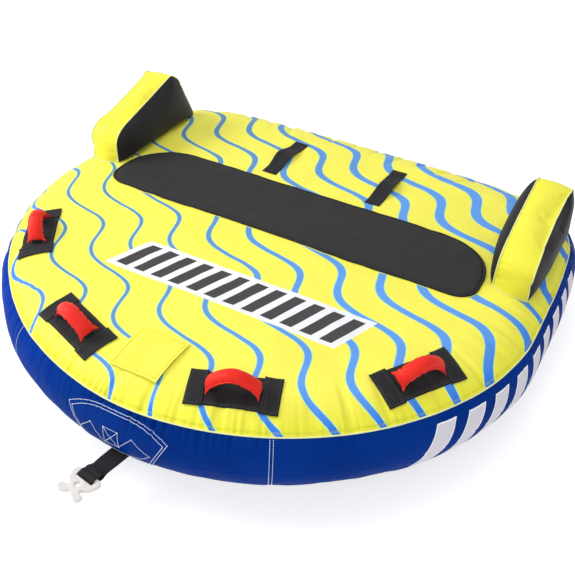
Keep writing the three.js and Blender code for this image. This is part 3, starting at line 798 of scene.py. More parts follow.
def webbing_solid(name, colour):
    """Webbing on a piece with no map of its own."""
    look = Look(name, 0.7, 0.03, 0.2)
    height = look.weave(0.0026)
    # painted highlight: the raised weave is coloured lighter than the dips
    raised_highlight = tuple(c * 1.7 + 0.002 for c in colour)
    return look.finish(crease_dirt(look, look.mix(height, colour, raised_highlight)), height, 0.6, 0.0005)


def thread(name, colour):
    look = Look(name, 0.6, 0.05, 0.3)
    twist = ((look.x + look.y + look.z) * (2 * math.pi / 0.0009)).sin() * 0.5 + 0.5
    # painted shade: the grooves of the twist are coloured darker than its crests
    tone = look.mix(twist, tuple(c * 0.78 for c in colour), colour)
    return look.finish(tone, twist, 0.4, 0.0002)


def moulded(name, colour, roughness, grain=0.0012, coat=0.0):
    look = Look(name, roughness, 0.0, 0.5, coat)
    fine = look.noise(grain, 3.0)
    broad = look.noise(0.03, 2.0)
    tone = look.shade(look.shade(colour, broad * 1.5 - 0.4, 0.90), fine, 0.94)
    return look.finish(tone, fine, 0.12, 0.0002)


DECK_PRINT = printed_deck()
WALL_PRINT = printed_wall()
YELLOW_CLOTH = fabric("yellow_cloth", YELLOW, (0.90, 0.85, 0.06), specular=0.4)
BAND_CLOTH = fabric("band_cloth", (0.89, 0.83, 0.066), (0.86, 0.81, 0.045), specular=0.35)
BLACK_CLOTH = fabric("black_cloth", (0.017, 0.016, 0.018), CHARCOAL, 0.62, 0.02, 0.18)
NAVY_CLOTH = fabric("navy_cloth", NAVY, NAVY_DEEP, 0.50, 0.0, 0.12, ior=1.17)
BASE_CLOTH = fabric("base_cloth", (0.030, 0.030, 0.034), (0.045, 0.045, 0.05), 0.6, 0.05, 0.2, 0.004, 0.4)
RED_CLOTH = fabric("red_cloth", (0.86, 0.024, 0.013), (0.76, 0.016, 0.009), 0.5, 0.03, 0.22)
RED_TAPE = fabric("red_tape", (0.90, 0.038, 0.022), (0.82, 0.026, 0.018), 0.5, 0.03, 0.22)
# The piping is a real seam edge. Its pale colour is painted highlight for the light caught by the folded
# edge of the yellow cloth.
PIPING_PAINTED_HIGHLIGHT = fabric("pale_piping_painted_highlight", (0.86, 0.88, 0.42), (0.80, 0.84, 0.32), 0.5, 0.05, 0.3, 0.0012)
FOAM = foam_face()
STRAP_WEB = webbing("black_webbing", (0.013, 0.0125, 0.014))
PATCH_WEB = webbing("patch_webbing", (0.014, 0.0135, 0.0145), 0.0036)
SOLID_WEB = webbing_solid("plain_webbing", (0.013, 0.0125, 0.014))
WHITE_THREAD = thread("white_thread", (0.80, 0.86, 0.98))
GREY_THREAD = thread("grey_thread", (0.050, 0.050, 0.056))
YELLOW_THREAD = thread("yellow_thread", (0.82, 0.79, 0.07))
PALE_PLASTIC = moulded("warm_white_plastic", (0.76, 0.715, 0.675), 0.42, 0.004, 0.05)
VINYL = moulded("grey_vinyl", (0.090, 0.096, 0.105), 0.42, 0.003)
VALVE_PLASTIC = moulded("valve_plastic", (0.10, 0.105, 0.115), 0.45)
ZIP_PLASTIC = moulded("zip_plastic", (0.02, 0.02, 0.022), 0.4)


def take(piece, body, slot, *nodes):
    """The piece rides on a body and stands for CAD nodes, which it hides. slot is not used."""
    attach(piece, body)
    if nodes:
        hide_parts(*nodes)
    return piece


def lay_cord(name, row, sizes, material, slot, *nodes, **options):
    """Piping or binding along a row, which rides on the hull. sizes: half width, half height."""
    return take(tube(name, *row, *sizes, material, **options), "hull", slot, *nodes)


def sew(name, rows, material, slot, *sizes, body="hull"):
    """Rows of stitches as one piece of thread that rides on a body."""
    return take(stitching(name, rows, material, *sizes), body, slot)


def keep_node(node, material):
    """A CAD node that stays gets a node material in place of its plain one."""
    data = NODES[node].data
    data.materials.clear()
    data.materials.append(material)


# ---- Body covers ---------------------------------------------------------------------------

AROUND = 1200                       # points round the body
COVER_THICKNESS = 0.0012
VALVE_HOLE = 0.034
SLOT_HALF_WIDTH, SLOT_LOW, SLOT_HIGH = 0.028, 0.093, 0.103


def even_angles(extra=()):
    """Angles at even arc length round the body, with some angles put in exactly."""
    arcs = np.linspace(-PERIMETER / 2, PERIMETER / 2, AROUND, endpoint=False)
    order = np.argsort(SEAM_ARC)
    angles = np.interp((arcs - SEAM_ARC[0]) % PERIMETER + SEAM_ARC[0], SEAM_ARC[order], SEAM_ANGLES[order])
    angles = np.sort(angles)
    for angle in extra:
        angles[np.argmin(np.abs(angles - angle))] = angle
    return angles


def ring_piece(name, rings, material, uv=None, closed_end=None):
    """A cover made of rings of points, with an optional single point that closes the last ring."""
    rows, columns = rings.shape[:2]
    vertices = rings.reshape(-1, 3)
    faces = grid_faces(rows, columns, wrap=True)
    if closed_end is not None:
        vertices = np.concatenate([vertices, [closed_end]])
        start = (rows - 1) * columns
        faces += [(start + j, start + (j + 1) % columns, rows * columns) for j in range(columns)]
    piece = add_piece(name, vertices, faces, material)
    if uv is not None:
        set_uv(piece, uv)
    return piece


def open_hole(piece, centre, radius):
    """Opens a round hole in a deck and moves the cut edge onto its circle."""
    middle = Vector(centre)

    def cut(shape):
        inside = [f for f in shape.faces if (f.calc_center_median().xy - middle).length < radius]
        bmesh.ops.delete(shape, geom=inside, context="FACES")
        rim = [vertex for edge in shape.edges if edge.is_boundary for vertex in edge.verts]
        for vertex in rim:
            out = vertex.co.xy - middle
            if out.length < 2 * radius:
                vertex.co.xy = middle + out.normalized() * radius

    edit_mesh(piece, cut)


def make_deck():
    """The printed top panel, down to the deck seam, with its valve opening."""
    angles = even_angles()
    places = np.concatenate([
        np.linspace(DECK_SEAM, DECK_SEAM - 0.16, 22, endpoint=False),
        np.linspace(DECK_SEAM - 0.16, 0.0, 20, endpoint=False),
    ])
    crown = skin(angles[None], places[:, None])
    edge_x, edge_y = outline(CROWN_INSET, angles)
    shares = np.linspace(1, 0, 34)[:-1]
    flat = deck_point(edge_x[None] * shares[:, None], edge_y[None] * shares[:, None])
    rings = np.concatenate([crown, flat])
    piece = ring_piece("deck_cover_cloth", rings, DECK_PRINT, closed_end=(0, 0, HEIGHT))
    open_hole(piece, (VALVE_X, VALVE_Y), VALVE_HOLE)
    tidy_mesh(piece)
    thicken(piece, COVER_THICKNESS)
    return take(piece, "hull", "yellow_fabric", "deck_cover")


def cut_slot(shape):
    """Opens the slot that the tow strap runs through."""
    middles = [(face, face.calc_center_median()) for face in shape.faces]
    gone = [face for face, at in middles
            if abs(at.x) < SLOT_HALF_WIDTH and at.y < 0 and SLOT_LOW < at.z < SLOT_HIGH]
    bmesh.ops.delete(shape, geom=gone, context="FACES")


def make_wall():
    """The side band, from the deck seam to the base seam."""
    slot_middle = np.array((SLOT_LOW + SLOT_HIGH) / 2)
    slot_y = -FRONT + float(section(place_at(slot_middle), 0.0)[0])
    slot_edges = [math.atan2(slot_y, x) for x in (-SLOT_HALF_WIDTH, SLOT_HALF_WIDTH)]
    angles = even_angles(slot_edges)
    places = np.concatenate([
        np.linspace(DECK_SEAM, 0.86, 24, endpoint=False), np.linspace(0.86, 1.1, 22, endpoint=False),
        np.linspace(1.1, BASE_SEAM, 26),
    ])
    for height in (SLOT_LOW, SLOT_HIGH):
        place = float(place_at(np.array(height)))
        places[np.argmin(np.abs(places - place))] = place
    rings = skin(angles[None], places[:, None])
    heights = section(places, 0.0)[1]
    uv = np.stack(np.meshgrid(arc_at(angles), heights), -1).reshape(-1, 2)
    piece = ring_piece("side_wall_cloth", rings, WALL_PRINT, uv)
    edit_mesh(piece, cut_slot, face_outward)
    thicken(piece, COVER_THICKNESS)
    return take(piece, "hull", "blue_fabric", "side_wall")


def make_base():
    """The bottom of the cover, flat where it lies on the floor."""
    angles = even_angles()[::2]
    places = np.linspace(BASE_SEAM, BOTTOM, 20)
    foot = skin(angles[None], places[:, None])
    edge_x, edge_y = outline(FOOT_INSET, angles)
    shares = np.linspace(1, 0, 14)[1:-1]
    flat = shares[:, None, None] * np.stack([edge_x, edge_y, 0 * edge_x], -1)
    piece = ring_piece("base_panel_cloth", np.concatenate([foot, flat]), BASE_CLOTH, closed_end=(0, 0, 0))
    tidy_mesh(piece)
    thicken(piece, COVER_THICKNESS)
    return take(piece, "hull", "black_fabric", "base_panel")


def skin_row(angle, place, lift):
    """Points on the body and the way out of it at each, for a cord or a row of stitches."""
    points = skin(angle, place, lift)
    return points, skin(angle, place, lift + 0.01) - points


def row_around(height):
    """One closed row of stitches round the body at a height."""
    angles = even_angles()
    place = float(place_at(np.array(height)))
    return skin_row(np.append(angles, angles[0] + 2 * math.pi), place, 0.0003)


def make_body_seams():
    """The piping and the stitches of the deck seam, the base seam and the wall's seams."""
    for name, place, lift, sizes, material, slot in (
            ("deck_seam_piping", DECK_SEAM, 0.0002, (0.0021, 0.0021), PIPING_PAINTED_HIGHLIGHT, "yellow_fabric"),
            ("base_seam_piping", BASE_SEAM, 0.0, (0.0020, 0.0018), NAVY_CLOTH, "blue_fabric")):
        lay_cord(name, skin_row(even_angles(), place, lift), sizes, material, slot, closed=True)
    hem = [row_around(SEAM_HEIGHT + away * 0.62) for away in (0.009, 0.0125)]
    sew("deck_seam_stitching", hem, YELLOW_THREAD, "yellow_fabric", 0.0060, 0.0018, 0.0005)
    sew("base_seam_stitching", [row_around(0.046)], WHITE_THREAD, "blue_fabric", 0.0060, 0.0014, 0.0005)
    places = np.linspace(DECK_SEAM + 0.02, BASE_SEAM - 0.02, 60)
    upright = [skin_row(float(np.interp(arc, SEAM_ARC, SEAM_ANGLES)), places, 0.0005) for arc in WALL_SEAMS]
    sew("wall_seam_stitching", upright, WHITE_THREAD, "blue_fabric", 0.0060, 0.0012, 0.0009)


DECK_CLOTH = make_deck()
WALL_CLOTH = make_wall()
BASE = make_base()
make_body_seams()

# ---- Chest pad -----------------------------------------------------------------------------

PAD_LOW, PAD_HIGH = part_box("body_pad_binding")
PAD = {"front_radius": 0.065, "rear_radius": 0.170, "thickness": 0.007, "binding": 0.008, "roll": 0.011}


def pad_outline(shrink, step):
    """The rounded outline of the pad in plan, moved in by shrink."""
    half, front, rear = PAD_HIGH.x - shrink, PAD_LOW.y + shrink, PAD_HIGH.y - shrink
    front_radius, rear_radius = PAD["front_radius"] - shrink, PAD["rear_radius"] - shrink
    corners = [
        (half - front_radius, front + front_radius, front_radius, -90),
        (half - rear_radius, rear - rear_radius, rear_radius, 0),
        (-half + rear_radius, rear - rear_radius, rear_radius, 90),
        (-half + front_radius, front + front_radius, front_radius, 180),
    ]
    points = []
    for x, y, radius, start in corners:
        turns = np.radians(np.linspace(start, start + 90, 28))
        points += [(x + radius * math.cos(t), y + radius * math.sin(t)) for t in turns]
    return resample(points, step=step, closed=True)[0]


def pad_grid():
    """Plan points of the foam, and how deep each lies inside the foam's outline."""
    shrink = PAD["binding"]
    half, front, rear = PAD_HIGH.x - shrink, PAD_LOW.y + shrink, PAD_HIGH.y - shrink
    front_radius, rear_radius = PAD["front_radius"] - shrink, PAD["rear_radius"] - shrink
    ends = 0.0002 * np.arange(30) ** 2
    x = np.concatenate([ends - half, np.linspace(ends[-1] - half, half - ends[-1], 70)[1:-1],
                        (half - ends)[::-1]])

    def arc(radius):
        over = np.clip(np.abs(x) - (half - radius), 0, radius)
        return radius - np.sqrt(radius ** 2 - over ** 2)

    low, high = front + arc(front_radius), rear - arc(rear_radius)
    length = high - low
    near = np.array([0, 0.0006, 0.0016, 0.0032, 0.0056, 0.0090, 0.0140, 0.0220])
    scale = np.minimum(1, length / 0.09)[:, None]
    inner = np.linspace(0, 1, 24)[None, 1:-1]
    first = near[None] * scale
    between = first[:, -1:] + (length[:, None] - 2 * first[:, -1:]) * inner
    y = low[:, None] + np.concatenate([first, between, (length[:, None] - first)[:, ::-1]], 1)
    x = x[:, None] + 0 * y
    depth = np.minimum(half - np.abs(x), np.minimum(y - front, rear - y))
    for radius, away in ((front_radius, y - front), (rear_radius, rear - y)):
        over = np.abs(x) - (half - radius)
        corner = radius - np.hypot(over, radius - away)
        depth = np.where((over > 0) & (away < radius), corner, depth)
    return x, y, np.maximum(depth, 0)


def make_pad():
    """The foam with its rolled edge, its binding and the thin yellow edge outside that."""
    x, y, depth = pad_grid()
    rolled = (1 - np.clip(1 - depth / PAD["roll"], 0, 1) ** 2.4) ** (1 / 2.4)
    soft = 0.0008 * billow(x, y, 0 * x, 0.18, 0.06, 31) * np.clip(depth / 0.03, 0, 1)
    top = deck_point(x, y, 0.0012 + (PAD["thickness"] - 0.0012) * rolled + soft)
    piece = slab("body_pad_foam", top, deck_point(x, y, 0.0004), FOAM)
    take(piece, "hull", "pad_foam", "body_pad")
    ring = pad_outline(PAD["binding"] / 2, 0.004)
    lay_cord("body_pad_edge_binding", deck_row(ring, 0.0030), (0.0042, 0.0031), BLACK_CLOTH,
             "black_fabric", "body_pad_binding", closed=True, around=12)
    rows = [row_on_deck(np.concatenate([ring, ring[:1]]), 0.0061)]
    sew("body_pad_stitching", rows, GREY_THREAD, "black_fabric", 0.0050, 0.0014, 0.0006)
    outer = pad_outline(-0.0022, 0.004)
    lay_cord("body_pad_edge_piping", deck_row(outer, 0.0006), (0.0011, 0.0010), YELLOW_CLOTH,
             "yellow_fabric", closed=True, around=6)


make_pad()

# ---- Rear straps ---------------------------------------------------------------------------

STRAP = {"sewn": 0.034, "thickness": 0.0026, "rise": 0.013, "cup": 0.0010, "sway": 0.004, "twist": 0.16}


def make_rear_strap(name, kink):
    """Webbing sewn flat at both ends, with a low bow and a slight twist (kink) between them."""
    low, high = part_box(f"rear_strap_{name}")
    width, length, sewn = high.x - low.x, high.y - low.y, STRAP["sewn"]
    along = np.concatenate([
        np.linspace(0, sewn, 8, endpoint=False),
        np.linspace(sewn, length - sewn, 44, endpoint=False),
        np.linspace(length - sewn, length, 8),
    ])
    across = np.linspace(-1, 1, 17)
    free = (along - sewn) / (length - 2 * sewn)
    bow = STRAP["rise"] * np.sin(math.pi * np.clip(free, 0, 1)) ** 2
    edge = 0.0007 * np.abs(across) ** 10
    bowed = kink * bow[:, None]
    x = (low.x + high.x) / 2 + across[None] * width / 2 + bowed / STRAP["rise"] * STRAP["sway"]
    y = (low.y + along)[:, None] + 0 * x
    cup = -STRAP["cup"] * np.cos(across * math.pi)[None] * (bow[:, None] > 0.001)
    height = bow[:, None] + bowed * STRAP["twist"] * across[None] + cup
    base, up = deck_point(x, y, 0.0004), np.array([0, 0, 1])
    top = base + up * (height + STRAP["thickness"] - edge)[..., None]
    piece = slab(f"rear_strap_{name}_webbing", top, base + up * (height + edge)[..., None], STRAP_WEB)
    co = vertex_array(piece)
    set_uv(piece, co[:, [1, 0]])
    take(piece, "hull", "webbing", f"rear_strap_{name}")
    rows = []
    for start in (low.y + 0.004, high.y - sewn + 0.002):
        crossed = crossed_box(low.x + 0.005, high.x - 0.005, start, start + sewn - 0.006)
        rows += [row_on_deck(line, 0.0033) for line in crossed]
    sew(f"rear_strap_{name}_stitching", rows, GREY_THREAD, "webbing", 0.0042, 0.0012, 0.0006)


make_rear_strap("left", -1)
make_rear_strap("right", 0.4)

# ---- Inflated and padded forms -------------------------------------------------------------


CLOTH = {"quality": 6, "mass": 0.25, "bending_stiffness": 0.4, "use_pressure": True}
CLOTH_FRAMES = 20


def inflate(piece, pinned, pressure, cap, stiffness=12.0):
    """Swells a mesh as sewn cloth under pressure and caps how far a point may move."""
    group = piece.vertex_groups.new(name="pinned")
    for index, weight in enumerate(pinned):
        if weight > 0:
            group.add([index], float(weight), "REPLACE")
    cloth = piece.modifiers.new("cloth", "CLOTH")
    for key, value in CLOTH.items():
        setattr(cloth.settings, key, value)
    cloth.settings.tension_stiffness = stiffness
    cloth.settings.compression_stiffness = stiffness
    cloth.settings.shear_stiffness = stiffness / 2
    cloth.settings.uniform_pressure_force = pressure
    cloth.settings.vertex_group_mass = "pinned"
    cloth.settings.effector_weights.gravity = 0
    cloth.point_cache.frame_start, cloth.point_cache.frame_end = 1, CLOTH_FRAMES
    scene = bpy.context.scene
    start = vertex_array(piece)
    for step in range(1, CLOTH_FRAMES + 1):
        scene.frame_set(step)
    evaluated = piece.evaluated_get(bpy.context.evaluated_depsgraph_get())
    swollen = np.array([v.co for v in evaluated.to_mesh().vertices])
    evaluated.to_mesh_clear()
    piece.modifiers.remove(cloth)
    piece.vertex_groups.clear()
    scene.frame_set(1)
    move = swollen - start
    size = np.linalg.norm(move, axis=1)[:, None]
    move *= np.minimum(1, cap / np.maximum(size, 1e-9))
    move_points(piece, start + move)


# ---- Side bolsters -------------------------------------------------------------------------

BOLSTER = {
    "inner": 0.638, "outer": 0.738, "sewn_in": 0.0012, "bulges": (0.041, 0.017), "bladder": 0.0055,
    "foot_bulge": 0.011, "panel_middle": (0.305, 0.355), "station": 0.0094,
    "profile": [(86, 200), (79, 376), (115, 408), (407, 484), (450, 453), (518, 318), (573, 200)],
    "corners": [0.026, 0.040, 0.016, 0.020, 0.060],
}
BOLSTER_MIDDLE = (0.688, 0.3, 0.36)
BAND_STATIONS, BAND_COLUMNS, PANEL_RINGS, FOOT_STATIONS = 92, 15, 14, 44


def rounded_path(points, radii, per_corner=9):
    """A polyline with its inner corners rounded by quadratic arcs."""
    points = [np.array(p) * MM for p in points]
    path = [points[0]]
    for before, corner, after, radius in zip(points, points[1:], points[2:], radii):
        start = corner + (before - corner) * min(radius / np.linalg.norm(before - corner), 0.45)
        end = corner + (after - corner) * min(radius / np.linalg.norm(after - corner), 0.45)
        for t in np.linspace(0, 1, per_corner):
            path.append(start * (1 - t) ** 2 + corner * 2 * t * (1 - t) + end * t * t)
    return np.array([*path, points[-1]])


def bolster_stations(x, shrink):
    """The band's profile at one x, cut off at the deck, with even stations."""
    path, _ = resample(rounded_path(BOLSTER["profile"], BOLSTER["corners"]), step=0.002)
    middle = np.array([0.29, 0.36])
    path = path + (middle - path) / np.linalg.norm(middle - path, axis=1)[:, None] * shrink
    level = deck_point(np.full(len(path), x), path[:, 0])[:, 2] - BOLSTER["sewn_in"]
    above = np.where(path[:, 1] > level)[0]
    kept = path[above[0]:above[-1] + 1]
    kept[0, 1], kept[-1, 1] = level[above[0]], level[above[-1]]
    return resample(kept, count=BAND_STATIONS)[0]


def bolster_mesh():
    """Band and both side panels of the +X bolster as one sewn mesh, open at the foot."""
    inner, outer = BOLSTER["inner"], BOLSTER["outer"]
    columns = []
    for t in np.linspace(0, 1, BAND_COLUMNS):
        x = inner + (outer - inner) * t
        path = bolster_stations(x, 0.001 - 0.004 * math.sin(math.pi * t))
        from_foot = np.arange(BAND_STATIONS) * BOLSTER["station"]
        path[:, 0] -= BOLSTER["foot_bulge"] * math.sin(math.pi * t) ** 0.8 * bump(from_foot, 0, 0.060)
        path[0, 1] = deck_point(x, path[0, 0])[2] - BOLSTER["sewn_in"]
        columns.append(np.stack([np.full(BAND_STATIONS, x), path[:, 0], path[:, 1]], -1))
    band = np.stack(columns, 1)
    vertices = [tuple(p) for p in band.reshape(-1, 3)]
    faces = [(face, 0) for face in grid_faces(BAND_STATIONS, BAND_COLUMNS)]
    fixed = [1.0] * BAND_COLUMNS + [0.0] * (len(vertices) - 2 * BAND_COLUMNS) + [1.0] * BAND_COLUMNS
    for column, sign, part in ((0, -1, 1), (BAND_COLUMNS - 1, 1, 2)):
        bulge = sign * BOLSTER["bulges"][part - 1]
        edge = band[:, column]
        foot = np.linspace(edge[-1], edge[0], FOOT_STATIONS + 2)[1:-1]
        foot[:, 2] = deck_point(foot[:, 0], foot[:, 1])[:, 2] - BOLSTER["sewn_in"]
        previous = [i * BAND_COLUMNS + column for i in range(BAND_STATIONS)]
        previous += range(len(vertices), len(vertices) + FOOT_STATIONS)
        vertices += [tuple(p) for p in foot]
        fixed += [1.0] * FOOT_STATIONS
        loop = np.concatenate([edge, foot])
        middle = np.array([edge[0, 0], *BOLSTER["panel_middle"]])
        for ring in range(1, PANEL_RINGS):
            t = 1 - ring / PANEL_RINGS
            points = middle + (loop - middle) * t
            points[:, 0] += bulge * (1 - t * t) ** 0.62
            current = list(range(len(vertices), len(vertices) + len(points)))
            vertices += [tuple(p) for p in points]
            fixed += [0.0] * len(points)
            for j in range(len(points)):
                k = (j + 1) % len(points)
                faces.append(((previous[j], previous[k], current[k], current[j]), part))
            previous = current
        vertices.append(tuple(middle + np.array([bulge, 0, 0])))
        fixed.append(0.0)
        faces += [((previous[j], previous[(j + 1) % len(previous)], len(vertices) - 1), part)
                  for j in range(len(previous))]
    piece = add_piece("bolster_form", np.array(vertices), [face for face, _ in faces])
    edit_mesh(piece, face_outward)
    turn_outward(piece, 1)
    return piece, np.array(fixed), [part for _, part in faces]


def pucker_bolster(piece):
    """Small gathers across the seams of the band, after the form has swollen."""
    points, normals = vertex_array(piece), vertex_array(piece, "normal")
    along = np.linspace(0, 0.86, BAND_STATIONS)
    foot = 1 + 1.8 * np.exp(-along / 0.05) + 0.6 * np.exp(-(along[-1] - along) / 0.04)
    for column in range(1, BAND_COLUMNS - 1):
        to_seam = min(column, BAND_COLUMNS - 1 - column) * 0.0071
        seed = 41 if column < BAND_COLUMNS / 2 else 42
        gather = gathers(along, 0.056, 0.026, seed)
        index = np.arange(BAND_STATIONS) * BAND_COLUMNS + column
        depth = 0.0030 * math.exp(-to_seam / 0.018) * gather * foot
        points[index] -= normals[index] * depth[:, None]
    move_points(piece, points)


def bolster_part(points, faces, name, side, material, slot, node):
    """One sewn panel of a bolster, cut from the swollen form."""
    piece = add_piece(name, points, faces, material)
    tidy_mesh(piece)
    turn_outward(piece, side)
    return take(piece, "hull", slot, node)


def turn_outward(piece, side):
    """Turns the faces of an open cover away from the middle of its bolster."""
    centre = Vector((side * BOLSTER_MIDDLE[0], *BOLSTER_MIDDLE[1:]))
    total = sum((p.center - centre).dot(p.normal) * p.area for p in piece.data.polygons)
    if total < 0:
        piece.data.flip_normals()


def close_foot(shape):
    bmesh.ops.holes_fill(shape, edges=[e for e in shape.edges if e.is_boundary], sides=0)


def bolster_bladder(form, points, normals, fixed, side, name):
    """The sealed bladder: the cover's form a little smaller, closed under its foot."""
    smaller = points - normals * BOLSTER["bladder"]
    smaller[:, 2] += 0.006 * (fixed > 0)
    faces = [tuple(p.vertices) for p in form.data.polygons]
    piece = add_piece(f"bolster_{name}_bladder_form", smaller, faces, VINYL)
    edit_mesh(piece, close_foot)
    tidy_mesh(piece)
    turn_outward(piece, side)
    take(piece, "hull", "bladder_vinyl", f"bolster_{name}_bladder")


def make_bolsters():
    """Both bolsters: one form is swollen once, then mirrored and cut into its sewn panels."""
    form, fixed, parts = bolster_mesh()
    inflate(form, fixed, pressure=5.0, cap=0.010)
    pucker_bolster(form)
    labels = [("band", BAND_CLOTH, "yellow_fabric", {"flat": (0.100, 0.900)}),
              ("inner_panel", BLACK_CLOTH, "black_fabric", {"flat": (0.480, 0.260), "area": 0.080}),
              ("outer_panel", BLACK_CLOTH, "black_fabric", {"flat": (0.480, 0.260), "area": 0.080})]
    for side, name in ((-1, "left"), (1, "right")):
        points = vertex_array(form) * np.array([side, 1, 1])
        normals = vertex_array(form, "normal") * np.array([side, 1, 1])
        bolster_bladder(form, points, normals, fixed, side, name)
        for part, (label, material, slot, size_of) in enumerate(labels):
            faces = [tuple(p.vertices) for p, kind in zip(form.data.polygons, parts) if kind == part]
            node = f"bolster_{name}_{label}"
            piece = bolster_part(points, faces, f"{node}_cloth", side, material, slot, node)
            thicken(piece, COVER_THICKNESS)
            add_modifier(piece, "SUBSURF", levels=1, render_levels=1)
        for column, label in ((0, "inner"), (BAND_COLUMNS - 1, "outer")):
            index = np.arange(BAND_STATIONS) * BAND_COLUMNS + column
            line, _ = resample(np.concatenate([points[index], normals[index]], 1), step=0.004)
            row = line[:, :3] + line[:, 3:] * 0.0008, line[:, 3:]
            lay_cord(f"bolster_{name}_{label}_piping", row, (0.0019, 0.0019), PIPING_PAINTED_HIGHLIGHT, "yellow_fabric")
        foot_line(name, points)
    bpy.data.objects.remove(form)


def foot_line(name, points):
    """The piping where the bolster is sewn to the deck."""
    first = points[:BAND_COLUMNS]
    last = points[(BAND_STATIONS - 1) * BAND_COLUMNS:BAND_STATIONS * BAND_COLUMNS]
    loop = resample(np.concatenate([first[:, :2], last[::-1, :2]]), step=0.004, closed=True)[0]
    lay_cord(f"bolster_{name}_foot_piping", deck_row(loop, 0.0012), (0.0019, 0.0016), PIPING_PAINTED_HIGHLIGHT,
             "yellow_fabric", closed=True)


make_bolsters()

# ---- Handles -------------------------------------------------------------------------------

PATCH = {
    "length": 0.225, "width": 0.098, "strip": 0.092, "tab": 0.046, "thickness": 0.0016, "curl": 0.0016,
    "lift": 0.0004, "tab_lift": 0.0024, "row_lift": 0.0023, "tab_row_lift": 0.0044,
    "side_rows": (0.0045, 0.0080), "tab_inset": 0.005, "second_row": 0.006,
}
SLEEVE = {
    "half_width": 0.0180, "half_thickness": 0.0142, "start": 0.0085, "half_span": 0.062, "power": 1.22,
    "peak": 0.58, "round": 0.14, "bends": (0.006, 0.040), "pucker": 0.0027,
    "flare": (0.0082, -0.0054, 0.0034),         # across, upward and along, at each corner of a mouth
    "strap_half_width": 0.0125, "strap_half_thickness": 0.0013,
}
SLEEVE_ROWS, SLEEVE_COLUMNS = 54, 36


def handle_axes(number):
    """Origin, along, upward and across directions of a handle's arch, from the frame."""
    joint = JOINTS[f"handle_{number}_tilt"]
    origin = np.array(joint["pos_m"])
    along = np.array(joint["axis"]) / np.linalg.norm(joint["axis"])
    points = vertex_array(NODES[f"handle_{number}_webbing"]) - origin
    lifted = points - np.outer(points @ along, along)
    reach = np.linalg.norm(lifted, axis=1)
    top = lifted[reach > 0.96 * reach.max()].mean(0)
    upward = top / np.linalg.norm(top)
    return origin, along, upward, np.cross(along, upward), float(np.linalg.norm(top)) * 0.96


def arch(axes, lowest, count):
    """Even stations along the arch above a height: its centre line and the way out of it."""
    origin, along, upward, across, rise = axes
    at = -np.cos(np.linspace(0, math.pi, 401))
    soft = SLEEVE["round"]
    away = (np.hypot(at, soft) - soft) / (math.hypot(1, soft) - soft)
    height = rise * np.maximum(1 - away ** SLEEVE["power"], 0) ** SLEEVE["peak"]
    line = np.stack([at * SLEEVE["half_span"], height], -1)[height >= lowest]
    line = resample(line, count=count)[0]
    centre = origin + along * line[:, :1] + upward * line[:, 1:]
    tangent = np.gradient(centre, axis=0)
    way = np.cross(across, tangent)
    way /= np.linalg.norm(way, axis=1)[:, None]
    return centre, way * np.sign(way[count // 2] @ upward)


def bend_handle(piece, number, axes, slot, *nodes):
    """Bakes the piece's place into its mesh and hides the CAD nodes it stands for."""
    origin, upward = axes[0], axes[2]
    low, high = (tuple(origin + upward * height) for height in SLEEVE["bends"])
    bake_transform(piece)
    if nodes:
        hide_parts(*nodes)


def make_webbing(number, axes):
    """The strap that carries the sleeve, with its feet under the tabs."""
    centre, way = arch(axes, 0.0, 80)
    share = np.linspace(-1, 1, 9)
    wide = axes[3] * (share * SLEEVE["strap_half_width"])[None, :, None]
    deep = way[:, None] * SLEEVE["strap_half_thickness"]
    piece = slab(f"handle_{number}_strap", centre[:, None] + deep + wide, centre[:, None] - deep + wide,
                 SOLID_WEB)
    bend_handle(piece, number, axes, "webbing", f"handle_{number}_webbing")


def make_sleeve(number):
    """The red padded tube over the strap, with the edges of its seam allowances."""
    axes = handle_axes(number)
    across = axes[3]
    make_webbing(number, axes)
    centre, outward_way = arch(axes, SLEEVE["start"], SLEEVE_ROWS)
    lengths = np.concatenate([[0], np.cumsum(np.linalg.norm(np.diff(centre, axis=0), axis=1))])
    to_end = np.minimum(lengths, lengths[-1] - lengths)
    mouth = np.exp(-to_end / 0.007)
    half_width = SLEEVE["half_width"] * (1 - 0.04 * mouth)
    half_thickness = SLEEVE["half_thickness"] * (1 - 0.45 * mouth)
    angles = np.arange(SLEEVE_COLUMNS) * 2 * math.pi / SLEEVE_COLUMNS
    wide, deep = (np.sign(v) * np.abs(v) ** power
                  for v, power in ((np.cos(angles), 0.9), (np.sin(angles), 0.95)))
    rings = (centre[:, None] + across * (half_width[:, None] * wide[None])[..., None]
             + outward_way[:, None] * (half_thickness[:, None] * deep[None])[..., None])
    piece = add_piece(f"handle_{number}_padded_sleeve", rings,
                      grid_faces(SLEEVE_ROWS, SLEEVE_COLUMNS, wrap=True), RED_CLOTH)
    edit_mesh(piece, face_outward)
    outward_from_line(piece, centre)
    pinned = np.zeros((SLEEVE_ROWS, SLEEVE_COLUMNS))
    pinned[[0, -1]] = 1
    pinned[:, [0, SLEEVE_COLUMNS // 2]] = 0.9
    inflate(piece, pinned.ravel(), pressure=4.0, cap=0.004, stiffness=8.0)
    pucker_sleeve(piece, number, to_end, angles)
    flare_sleeve(piece, axes, to_end, angles)
    thicken(piece, 0.0016)
    add_modifier(piece, "SUBSURF", levels=1, render_levels=1)
    bend_handle(piece, number, axes, "red_fabric", f"handle_{number}_sleeve")
    points = vertex_array(piece)
    for column, label in ((0, "front"), (SLEEVE_COLUMNS // 2, "rear")):
        side = across * (1 if column == 0 else -1)
        line = points[np.arange(SLEEVE_ROWS) * SLEEVE_COLUMNS + column] + side * 0.0008
        ridge = tube(f"handle_{number}_{label}_ridge", line, np.tile(side, (len(line), 1)),
                     0.0011, 0.0028, RED_TAPE)
        bend_handle(ridge, number, axes, "red_fabric")


